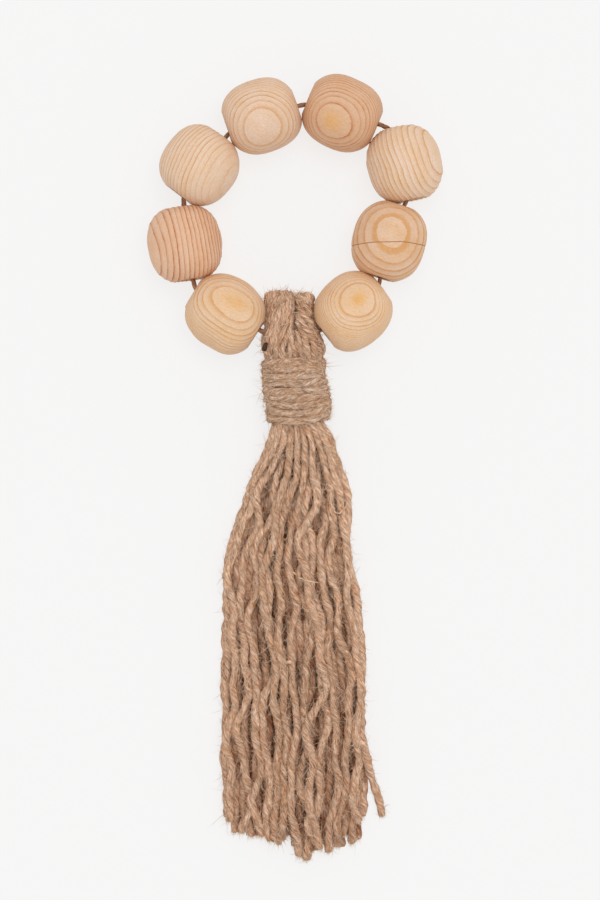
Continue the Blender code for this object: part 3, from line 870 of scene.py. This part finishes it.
def build_fuzz(name, groups, fuzz, seed, material, slot="jute", node="tassel"):
    """One mesh of loose fibres: short lint, a few long hairs and the brushes at frayed ends."""
    lint_density, long_density, lift, length = fuzz
    rng = np.random.default_rng(seed)
    kinds = [
        (lay_hairs(groups, lint_density, lift, length, rng), LINT_SPANS),
        (lay_hairs(groups, long_density, lift, LONG_LENGTH, rng), LONG_SPANS),
        (lay_brushes(groups, rng), LINT_SPANS),
    ]
    points, faces, tones = [], [], []
    total = 0
    for hairs, spans in kinds:
        if hairs is None:
            continue
        count = len(hairs[0])
        radius = HAIR_RADIUS * rng.uniform(*HAIR_RADII, count)
        made, made_faces, each = hair_mesh(*hairs, radius, spans)
        points.append(made)
        faces += [tuple(corner + total for corner in face) for face in made_faces]
        tones.append(np.repeat(rng.uniform(0, HAIR_TONES, (count, 3)), each, axis=0))
        total += len(made)
    points = np.concatenate(points)
    points[:, 2] = np.maximum(points[:, 2], HAIR_RADIUS)
    new_piece(name, points, faces, material, {}, {"fibre": np.concatenate(tones)}, slot, node)


# ---------------------------------------------------------------- strands of the skirt


def strand_roots():
    """Root x, root height, layer and row of every strand."""
    roots = []
    for row, (height, code) in enumerate(ROOT_ROWS):
        for place, figure in enumerate(code):
            x = ROOT_X + (place - (len(code) - 1) / 2) * ROOT_PITCH
            roots.append((x, height, int(figure), row))
    x, height, layer, row = np.array(roots).T
    return x, height, layer.astype(int), row.astype(int)


def strand_places(root_x, layer, row):
    """Each strand's place across the skirt, from -1 at the left edge to 1 at the right."""
    place = np.empty(len(root_x))
    for number, (spread, _) in enumerate(LAYERS):
        members = np.flatnonzero(layer == number)
        members = members[np.lexsort((row[members], root_x[members]))]
        place[members] = np.linspace(-spread, spread, len(members))
    return place


def strand_sway(layer, down):
    """Gentle waves from side to side, that grow from nothing at the roots."""
    rng = np.random.default_rng(SWAY_SEED)
    sway = np.zeros((len(down), len(layer)))
    for i, number in enumerate(layer):
        for length in SWAY_LENGTHS:
            wave = ripple(down, length, rng)
            size = LAYERS[number][1] * rng.uniform(LEAST_SWAY, 1.0)
            sway[:, i] += size * (length / SWAY_LENGTHS[1]) ** 0.5 * wave
    return sway * np.clip(down / CALM_LENGTH, 0, 1)[:, None]


class Spacer:
    """Pushes strands apart where they come too close, side by side or one over the other."""

    def __init__(self, place, layer, row):
        self.one, self.two = np.triu_indices(len(place), 1)
        self.same_layer = layer[self.one] == layer[self.two]
        self.side = np.sign(place[self.two] - place[self.one])
        rank = row + len(ROOT_ROWS) * layer
        self.above = np.sign(rank[self.two] - rank[self.one])
        self.reach = STRAND_SIDE + STRAND_GAP

    def push(self, paths, share):
        """Part the strands at one share of the way from each station to the next."""
        middle = paths[:-1] * (1 - share) + paths[1:] * share
        apart = middle[:, self.two] - middle[:, self.one]
        near, pair = np.nonzero(np.abs(apart).max(axis=2) < self.reach)
        apart = apart[near, pair]
        current = np.where(apart[:, 0] >= 0, 1.0, -1.0)
        side = np.where(self.same_layer[pair], self.side[pair], current)
        above = self.above[pair]
        lack_across = self.reach * PUSH_MARGIN - apart[:, 0] * side
        lack_up = self.reach * PUSH_MARGIN - apart[:, 1] * above
        favour = np.where(self.same_layer[pair], 1.0, SIDEWAYS_FAVOUR)
        across = (above == 0) | (lack_across < lack_up * favour)
        axis = np.where(across, 0, 1)
        move = PUSH_SHARE * np.where(across, lack_across * side, lack_up * above)
        for station, weight in ((near, 1 - share), (near + 1, share)):
            np.add.at(paths, (station, self.one[pair], axis), -move * weight)
            np.add.at(paths, (station, self.two[pair], axis), move * weight)

    def part_round(self, paths):
        """Part round twines, each pair along the line between their middles."""
        apart = paths[:, self.two] - paths[:, self.one]
        distance = np.linalg.norm(apart, axis=2)
        near, pair = np.nonzero(distance < FINE_REACH)
        way = apart[near, pair] / np.maximum(distance[near, pair], 1e-6)[:, None]
        move = FINE_PUSH * (FINE_REACH - distance[near, pair])[:, None] * way
        np.add.at(paths, (near, self.one[pair]), -move)
        np.add.at(paths, (near, self.two[pair]), move)


def stray_swing(y, place, layer):
    """How far the stray strand swings out to the right at each y. It is 0 for all the others."""
    stray = np.argmax(np.where(layer == STRAY_LAYER, place, -1.0))
    share = np.clip((STRAY_START_Y - y) / STRAY_LENGTH, 0, 1)
    swing = np.zeros((len(y), len(place)))
    swing[:, stray] = STRAY_REACH * share * share * (3 - 2 * share)
    return swing


def strand_paths(spacer, root_x, root_z, layer, place):
    """Station heights y, and each strand's x and z there, settled on the floor and apart."""
    low_y = min(y for _, y in TIPS)
    y = ROOT_Y + (low_y - ROOT_Y) * np.linspace(0, 1, STATIONS) ** STATION_POWER
    down = ROOT_Y - y
    left, right = read_table(SKIRT, y)
    left = left + STRAND_SIDE / 2
    right = right - STRAND_SIDE / 2
    half = (right - left) / 2
    blend = np.clip(down / SETTLE_LENGTH, 0, 1)[:, None]
    blend = blend * blend * (3 - 2 * blend)
    root_place = (root_x - ROOT_X) / half[0]
    at_edge = 1 - EDGE_CALM * place**4
    aim = ((left + right) / 2)[:, None] + half[:, None] * (root_place * (1 - blend) + place * blend)
    swing = stray_swing(y, place, layer)
    aim = aim + strand_sway(layer, down) * at_edge + swing
    floor_z = STRAND_SIDE / 2
    height = root_z * (1 - blend) + (floor_z + LAYER_PITCH * layer) * blend
    paths = np.stack((aim, height), axis=2)
    root = paths[0].copy()
    for turn in range(SETTLE_PASSES):
        ease = max(0.0, 1 - turn / (FADE_SHARE * SETTLE_PASSES))
        bend = np.zeros_like(paths)
        bend[1:-1] = (paths[:-2] + paths[2:]) / 2 - paths[1:-1]
        paths += STIFFNESS * ease * bend
        paths[:, :, 0] += AIM_PULL * ease * (aim - paths[:, :, 0])
        paths[1:, :, 1] -= SINK_STEP * ease
        for number in range(PUSHES):
            spacer.push(paths, (number + (turn % PUSHES) / PUSHES) / PUSHES)
        paths[:, :, 0] = np.clip(paths[:, :, 0], left[:, None], right[:, None] + swing)
        paths[:, :, 1] = np.maximum(paths[:, :, 1], floor_z)
        paths[0] = root
    return y, paths


def smooth_columns(y, values, fine_y):
    """Cubic curves through each column of values at the falling heights y."""
    slope = np.gradient(values, y, axis=0)
    spot = np.clip(np.searchsorted(-y, -fine_y, side="right") - 1, 0, len(y) - 2)
    step = (y[spot + 1] - y[spot])[:, None, None]
    t = (fine_y - y[spot])[:, None, None] / step
    return cubic(t, values[spot], slope[spot], values[spot + 1], slope[spot + 1], step)


def fine_paths(y, paths, place, layer, spacer):
    """The settled strands at close stations, with the small waves that the plies' twist gives."""
    rng = np.random.default_rng(FINE_SEED)
    fine_y = np.linspace(y[0], y[-1], FINE_STATIONS)
    fine = smooth_columns(y, paths, fine_y)
    down = y[0] - fine_y
    calm = np.clip(down / FINE_CALM_LENGTH, 0, 1)
    for i, number in enumerate(layer):
        for length in FINE_WAVE_LENGTHS:
            size = FINE_WAVES[number] * rng.uniform(*FINE_WAVE_SHARES)
            own_length = length * rng.uniform(*FINE_WAVE_STRETCH)
            for axis, share in ((0, 1.0), (1, FINE_LIFT)):
                fine[:, i, axis] += share * calm * size * ripple(down, own_length, rng)
    floor_z = TWINE_RADIUS * FINE_FLOOR
    left, right = read_table(SKIRT, fine_y)
    swing = stray_swing(fine_y, place, layer)
    inset = np.array(FINE_EDGES)[layer]
    waves = [smooth_noise(fine_y[:, None], FINE_EDGE_LENGTH, seed) for seed in FINE_EDGE_SEEDS]
    left = (left + FINE_EDGE_WAVE * waves[0])[:, None] + inset
    right = (right + FINE_EDGE_WAVE * waves[1])[:, None] - inset + (1 + STRAY_FURTHER) * swing
    fine[:, :, 0] += STRAY_FURTHER * swing
    root = fine[0].copy()
    for _ in range(FINE_PASSES):
        spacer.part_round(fine)
        bend = fine[:-2] + fine[2:] - 2 * fine[1:-1]
        fine[1:-1] += FINE_STIFFNESS * bend
        fine[:, :, 0] = np.clip(fine[:, :, 0], left, right)
        fine[:, :, 1] = np.maximum(fine[:, :, 1], floor_z)
        fine[0] = root
    return fine_y, fine


def tip_height(x):
    """The y at which a strand that ends at this x is cut."""
    spots, heights = np.array(TIPS).T
    return float(np.interp(x, spots, heights))


def twine_swell(line):
    """Twines are squeezed inside the wrapping and round out as they spread."""
    share = np.clip((line[:, 1] - SPREAD_TWINE_Y) / (ROOT_Y - SPREAD_TWINE_Y), 0, 1)
    return 1 - (1 - NECK_TWINE_SHARE) * share


def strand_painted_shade(fine_y, fine, tips):
    """The painted shade of each strand at each station, from 0 in the open to 1 where it lies deep
    between higher ones.
    """
    apart = fine[:, None, :, 0] - fine[:, :, None, 0]
    rise = fine[:, None, :, 1] - fine[:, :, None, 1]
    walls = rise * np.exp(-((apart / PAINTED_SHADE_REACH) ** 2))
    left = np.where(apart < 0, walls, 0).max(axis=2)
    right = np.where(apart > 0, walls, 0).max(axis=2)
    across = fine[:, :, 0]
    from_edge = np.minimum(
        across - across.min(axis=1, keepdims=True), across.max(axis=1, keepdims=True) - across
    )
    shut = np.clip(from_edge / OPEN_EDGE, 0, 1)
    shut = shut * np.clip((fine_y[:, None] - tips) / OPEN_END, 0, 1)
    from_neck = np.clip((ROOT_Y - fine_y[:, None]) / OPEN_NECK, 0, 1)
    shut = shut * np.maximum(from_neck, np.clip(fine[:, :, 1] / OPEN_BELOW, 0, 1))
    towards_tips = END_PAINTED_SHADE * np.linspace(0, 1, len(fine))[:, None]
    return np.clip(shut * np.minimum(left, right) / PAINTED_SHADE_FULL + towards_tips, 0, 1)


def build_skirt(jute):
    """The strands from inside the wrapping to their cut ends, in one mesh for each layer."""
    root_x, root_z, layer, row = strand_roots()
    place = strand_places(root_x, layer, row)
    spacer = Spacer(place, layer, row)
    y, paths = strand_paths(spacer, root_x, root_z, layer, place)
    fine_y, fine = fine_paths(y, paths, place, layer, spacer)
    tips = np.array([tip_height(x * TIP_WIDEN) for x in fine[-1, :, 0]])
    painted_shade = strand_painted_shade(fine_y, fine, tips)
    groups = [Twines(31 + number) for number in range(3)]
    for i, number in enumerate(layer):
        neck_x = NECK_CENTRE[0] + (root_x[i] - ROOT_X) * NECK_SHRINK[0]
        neck_z = NECK_CENTRE[1] + (root_z[i] - ROOT_CENTRE_Z) * NECK_SHRINK[1]
        neck = []
        for neck_y, share in reversed(NECK_RISE):
            x = root_x[i] + share * (neck_x - root_x[i])
            z = root_z[i] + share * (neck_z - root_z[i])
            neck.append((x, neck_y, z, painted_shade[0, i]))
        kept = fine_y > tips[i] + groups[0].rng.uniform(*END_OFFSETS)
        skirt = np.stack((fine[:, i, 0], fine_y, fine[:, i, 1], painted_shade[:, i]), axis=1)[kept]
        route = np.concatenate((np.array(neck), skirt))
        groups[min(number, 2)].add(
            route, LAYER_TWINE_RADII[number], UP, twine_swell,
            squeeze=(1.0, 1.0) if number else PRESSED, lay=SKIRT_LAY, soft=SKIRT_SOFT, frayed=True,
        )
    for name, group in zip(("strands_low", "strands_middle", "strands_top"), groups):
        group.build(name, jute)
    return [group.lines for group in groups]


# ---------------------------------------------------------------- head


# The lobes' outlines, as in the model.
LEFT_LOBE = (
    # y, left, right, low, high
    (0.0435, -0.0112, 0.0022, 0.0016, 0.0184),
    (0.0465, -0.0126, 0.0020, 0.0006, 0.0196),
    (0.0500, -0.0126, 0.0014, 0.0004, 0.0198),
    (0.0550, -0.0118, 0.0006, 0.0004, 0.0198),
    (0.0590, -0.0114, -0.0002, 0.0005, 0.0196),
    (0.0630, -0.0114, -0.0002, 0.0014, 0.0188),
    (0.0660, -0.0114, -0.0003, 0.0032, 0.0172),
    (0.0685, -0.0106, -0.0009, 0.0060, 0.0144),
    (0.0698, -0.0088, -0.0022, 0.0086, 0.0118),
)
RIGHT_LOBE = (
    # y, left, right, low, high
    (0.0437, -0.0016, 0.0108, 0.0018, 0.0180),
    (0.0465, -0.0018, 0.0114, 0.0008, 0.0192),
    (0.0500, -0.0012, 0.0104, 0.0006, 0.0194),
    (0.0550, -0.0004, 0.0086, 0.0006, 0.0194),
    (0.0590, 0.0002, 0.0070, 0.0007, 0.0190),
    (0.0630, 0.0002, 0.0066, 0.0016, 0.0182),
    (0.0655, 0.0003, 0.0066, 0.0034, 0.0166),
    (0.0678, 0.0009, 0.0060, 0.0062, 0.0138),
    (0.0690, 0.0022, 0.0050, 0.0088, 0.0112),
)
LOBE_POWER = 2.6

# The twines of a lobe keep their places across it from the start of its fold upwards. The tops
# are 0.5 mm higher than the model's.
LOBES = (
    # table, start of the fold, top, loops, turn of the bundle in degrees, seed
    (LEFT_LOBE, 0.0590, 0.0703, 9, 165, 51),
    (RIGHT_LOBE, 0.0590, 0.0695, 7, -110, 52),
)
LOBE_FOOT = 0.0385
LOOP_POINTS = 48
TURN_POWER = 2.3
HEAD_TWINE_RADIUS = 0.00152
HEAD_WAVE = 0.0005
HEAD_WAVES = (
    # axis, length, how much further on each loop's wave starts
    (0, 0.013, 2.4),
    (2, 0.010, 1.7),
)
# One twine lies low between the lobes, so that the crease is closed at its bottom. It is darkened
# all over with painted shade, standing in for the crease's shade.
CREASE_ROUTE = (
    # x, y, z, painted shade
    (0.0004, 0.0385, 0.0105, 1.0),
    (0.0002, 0.0480, 0.0100, 1.0),
    (-0.0002, 0.0580, 0.0090, 1.0),
    (0.0000, 0.0655, 0.0080, 1.0),
)
# The outer loops stop a little lower, and each by a chance amount. The head is a little wider
# on each side than the model's.
HEAD_SHOULDER = 0.0009
HEAD_UNEVEN = 0.0007
HEAD_SPREAD = 0.0004


def lobe_point(table, fold, y, turn, inset):
    """A point on a lobe's rounded section at height y, at an angle from its right-hand side."""
    left, right, _, _ = read_table(table, np.minimum(y, fold))
    _, _, low, high = read_table(table, y)
    across, up = rounded(turn, LOBE_POWER)
    x = (left + right) / 2 + across * ((right - left) / 2 + HEAD_SPREAD - inset)
    z = (low + high) / 2 + up * ((high - low) / 2 - inset)
    return x, z


def lobe_loop(table, fold, top, turn, bundle_turn):
    """One twine that goes up the front of a lobe, over the fold and down its back."""
    share = np.sin(np.linspace(0, math.pi / 2, LOOP_POINTS))
    y = LOBE_FOOT + (top - HEAD_TWINE_RADIUS - LOBE_FOOT) * share
    gone = bundle_turn * (1 - share**TURN_POWER)
    front_x, front_z = lobe_point(table, fold, y, turn + gone, HEAD_TWINE_RADIUS)
    back_x, back_z = lobe_point(table, fold, y, -turn + gone, HEAD_TWINE_RADIUS)
    x = np.concatenate((front_x, back_x[-2::-1]))
    z = np.concatenate((front_z, back_z[-2::-1]))
    return np.stack((x, np.concatenate((y, y[-2::-1])), z), axis=1)


def build_head(jute):
    """Both lobes of folded twine."""
    lines = []
    for number, (table, fold, top, loops, bundle_turn, seed) in enumerate(LOBES, 1):
        twines = Twines(seed)
        for i in range(loops):
            turn = math.pi * (i + 0.5) / loops
            dip = HEAD_SHOULDER * math.cos(turn) ** 2 + HEAD_UNEVEN * twines.rng.uniform()
            route = lobe_loop(table, fold, top - dip, turn, math.radians(bundle_turn))
            for axis, length, onward in HEAD_WAVES:
                wave = np.sin(2 * math.pi * route[:, 1] / length + onward * i)
                route[:, axis] += HEAD_WAVE * wave
            twines.add(route, HEAD_TWINE_RADIUS, (1, 0, 0))
        if number == 1:
            twines.add(CREASE_ROUTE, HEAD_TWINE_RADIUS, (1, 0, 0))
        twines.build(f"head_loops_{number}", jute)
        lines += twines.lines
    return lines


# ---------------------------------------------------------------- wrapping and ring cord


# The wrapping's outline, as in the model.
WRAP = (
    # y, left, right
    (0.0430, -0.0134, 0.0119),
    (0.0400, -0.0137, 0.0121),
    (0.0364, -0.0130, 0.0124),
    (0.0308, -0.0127, 0.0136),
    (0.0271, -0.0121, 0.0142),
    (0.0241, -0.0119, 0.0144),
    (0.0185, -0.0112, 0.0136),
)
WRAP_TURNS = 9
WRAP_POWER = 2.5
WRAP_LOW = -0.0009
WRAP_HIGH = 0.0196
WRAP_POINTS = 1400
WRAP_TWINE_RADIUS = 0.00158
WRAP_SQUEEZE = (1.10, 0.80)
WRAP_LAY = 0.055
WRAP_SOFT = 0.40
WRAP_UNEVEN = 0.00022
WRAP_UNEVEN_TURN = 3.3
WRAP_TILT = 0.00030
WRAP_TILT_TURN = 7.9
# Both ends are tucked in, at this rate for each turn.
WRAP_TUCK = 0.0026
TUCK_RATE = 3.5
# At the front the turns run nearly level. In the middle the first ones arch up and the last ones
# sag, and at the right the last ones rise. All lie a little in from the outline's ends.
WRAP_LEVEL = 0.85
WRAP_SAG = (0.0004, -0.0018)
WRAP_LEAN = 0.0016
WRAP_RISE = -0.0004


def build_wrap(jute):
    """One twine wound round the neck, its turns a little uneven and both ends tucked in."""
    start = -math.pi / 2
    turn = np.linspace(start, start + 2 * math.pi * WRAP_TURNS, WRAP_POINTS)
    share = np.linspace(0, 1, WRAP_POINTS)
    top = WRAP[0][0] + WRAP_RISE
    bottom = WRAP[-1][0] - WRAP_RISE
    wound = share + WRAP_LEVEL * np.cos(turn) / (2 * math.pi * WRAP_TURNS)
    y = top + (bottom - top) * wound
    left, right = read_table(WRAP, y)
    ends = np.minimum(share, 1 - share) * WRAP_TURNS
    tuck = WRAP_TUCK * np.clip(1 - ends * TUCK_RATE, 0, 1) ** 2
    inset = WRAP_TWINE_RADIUS * WRAP_SQUEEZE[1] + tuck
    uneven = WRAP_UNEVEN * smooth_noise(turn[:, None], WRAP_UNEVEN_TURN, 72)
    across, up = rounded(turn, WRAP_POWER)
    x = (left + right) / 2 + across * ((right - left) / 2 - inset + uneven)
    z = (WRAP_LOW + WRAP_HIGH) / 2 + up * ((WRAP_HIGH - WRAP_LOW) / 2 - inset + uneven)
    z = np.maximum(z, WRAP_TWINE_RADIUS * WRAP_SQUEEZE[1])
    tilt = WRAP_TILT * smooth_noise(turn[:, None], WRAP_TILT_TURN, 73)
    front = np.clip(up, 0, 1)
    sag = (WRAP_SAG[0] + (WRAP_SAG[1] - WRAP_SAG[0]) * share**1.5) * front * (1 - across**2)
    y = y + tilt + sag + WRAP_LEAN * share**3 * front * np.maximum(across, 0)
    twines = Twines(74)
    twines.add(
        np.stack((x, y, z), axis=1), WRAP_TWINE_RADIUS, (0, 1, 0), squeeze=WRAP_SQUEEZE,
        lay=WRAP_LAY, soft=WRAP_SOFT,
    )
    twines.build("wrapping", jute, "wrap", "wrap")
    return twines.lines


# Ring cord, as in the model.
CORD_RADIUS = 0.0013
CORD_OFFSETS = (
    # how far inward of the bore's centre line the cord goes in and comes out, for each bead
    (0.0020, 0.0010),
    (0.0020, -0.0010),
    (0.0020, 0.0020),
    (-0.0010, -0.0010),
    (0.0020, 0.0020),
    (0.0020, 0.0020),
    (0.0010, 0.0020),
    (0.0020, 0.0020),
)
CORD_IN_BEAD = 0.80
# It is drawn thinner, and darkened with painted shade as if in the beads' shade.
CORD_SLIM = 0.75
CORD_PAINTED_SHADE = 0.75
CORD_BEND_STEPS = 16


def cord_ends(number):
    """Where the cord goes into a bead and comes out of it, and its direction in between."""
    x, y, heading, half_length, radius = BEADS[number]
    along = level_way(heading)
    inward = np.array((along[1], -along[0], 0.0))
    centre = np.array((x, y, radius - FLAT_SPOT_DEPTH))
    enter, leave = CORD_OFFSETS[number]
    reach = along * half_length * CORD_IN_BEAD
    start = centre - reach + enter * inward
    end = centre + reach + leave * inward
    return start, end, (end - start) / np.linalg.norm(end - start)


def cord_bend(number):
    """Points of the cord's smooth bend from one bead's bore into the next one's, with both ends."""
    _, start, start_way = cord_ends(number)
    end, _, end_way = cord_ends((number + 1) % len(BEADS))
    span = np.linalg.norm(end - start)
    shares = [i / CORD_BEND_STEPS for i in range(CORD_BEND_STEPS + 1)]
    return [cubic(t, start, start_way, end, end_way, span) for t in shares]


def build_ring_cord(jute):
    """The closed loop of cord through all the beads and the head."""
    route = []
    for number in range(len(BEADS)):
        route += cord_bend(number)
    route = np.array(route + route[:1])
    route = np.column_stack((route, np.full(len(route), CORD_PAINTED_SHADE)))
    twines = Twines(81)
    twines.add(route, CORD_RADIUS * CORD_SLIM, UP)
    twines.build("bead_cord", jute, "ring_cord", "ring_cord")


# A fleck of bark on the head, two loose fibres and a turned-up end on the skirt.
FLECK = ((-0.0122, 0.0464, 0.0166), (-0.0117, 0.0477, 0.0176), (-0.0111, 0.0490, 0.0178))
FLECK_RADIUS = 0.00085
LOOSE_FIBRES = (
    ((-0.0008, -0.0402, 0.0108), (0.0012, -0.0422, 0.0118), (0.0035, -0.0433, 0.0121),
     (0.0068, -0.0441, 0.0120), (0.0101, -0.0445, 0.0112)),
    ((0.0148, -0.0160, 0.0100), (0.0160, -0.0172, 0.0104), (0.0176, -0.0174, 0.0100),
     (0.0192, -0.0156, 0.0092), (0.0202, -0.0144, 0.0084)),
)
LOOSE_RADIUS = 0.00021
LOOSE_END = ((-0.0062, -0.0762, 0.0094), (-0.0040, -0.0756, 0.0102), (-0.0016, -0.0757, 0.0096))
LOOSE_END_RADIUS = 0.0008


def build_details(jute):
    """The fleck of bark, and the loose pieces of fibre that lie over the skirt."""
    fleck = Twines(82)
    fleck.add(FLECK, FLECK_RADIUS, UP, soft=0.8, frayed=True)
    fleck.build("bark_fleck", jute_material("bark", 0.16))
    loose = Twines(83)
    for route in LOOSE_FIBRES:
        loose.add(route, LOOSE_RADIUS, UP, soft=1.0)
    loose.add(LOOSE_END, LOOSE_END_RADIUS, UP, frayed=True)
    loose.build("loose_fibres", jute)


# ---------------------------------------------------------------- scene


def build_camera():
    data = bpy.data.cameras.new("camera")
    data.lens = LENS
    data.sensor_width = SENSOR
    camera = place_object("camera", data)
    camera.location = (*VIEW_CENTRE, VIEW_LEVEL + VIEW_HEIGHT * LENS / SENSOR)
    bpy.context.scene.camera = camera


def build_light():
    scene = bpy.context.scene
    scene.view_settings.view_transform = "Standard"
    world = bpy.data.worlds.new("studio")
    world.use_nodes = True
    background = world.node_tree.nodes["Background"]
    background.inputs["Color"].default_value = (*SKY_COLOUR, 1.0)
    background.inputs["Strength"].default_value = SKY_STRENGTH
    scene.world = world
    sun = bpy.data.lights.new("key", "SUN")
    sun.energy = KEY_STRENGTH
    sun.color = KEY_COLOUR
    sun.angle = math.radians(KEY_SPREAD_DEGREES)
    place_object("key", sun).rotation_euler = (*map(math.radians, KEY_TILT_DEGREES), 0)


def build_floor():
    half = FLOOR_SIDE / 2
    mesh = bpy.data.meshes.new("floor")
    corners = [(-half, -half, 0.0), (half, -half, 0.0), (half, half, 0.0), (-half, half, 0.0)]
    mesh.from_pydata(corners, [], [(0, 1, 2, 3)])
    material, _, shader = new_material("floor", 0.9, 0.0)
    shader.inputs["Base Color"].default_value = (*FLOOR_COLOUR, 1.0)
    shader.inputs["Emission Color"].default_value = (*FLOOR_GLOW, 1.0)
    shader.inputs["Emission Strength"].default_value = 1.0
    mesh.materials.append(material)
    floor = place_object("floor", mesh)


def main():
    build_camera()
    build_light()
    build_floor()
    for number, (bead, rings) in enumerate(zip(BEADS, RINGS), 1):
        build_bead(number, bead, rings)
    build_ring_cord(jute_material("cord_jute", 1.25))
    strand_lines = build_skirt(jute_material("skirt_jute", 1.06))
    head_lines = build_head(jute_material("head_jute", 1.01))
    wrap_lines = build_wrap(jute_material("wrap_jute", 0.81, WRAP_GROOVE_PAINTED_SHADE))
    build_details(jute_material("loose_jute", 1.25))
    fuzz = fuzz_material("fuzz")
    for number, lines in enumerate(strand_lines):
        build_fuzz(f"strand_fuzz_{number + 1}", lines, SKIRT_FUZZ[number], 91 + number, fuzz)
    build_fuzz("head_fuzz", head_lines, HEAD_FUZZ, 95, fuzz)
    build_fuzz("wrap_fuzz", wrap_lines, WRAP_FUZZ, 96, fuzz, "wrap", "wrap")


main()
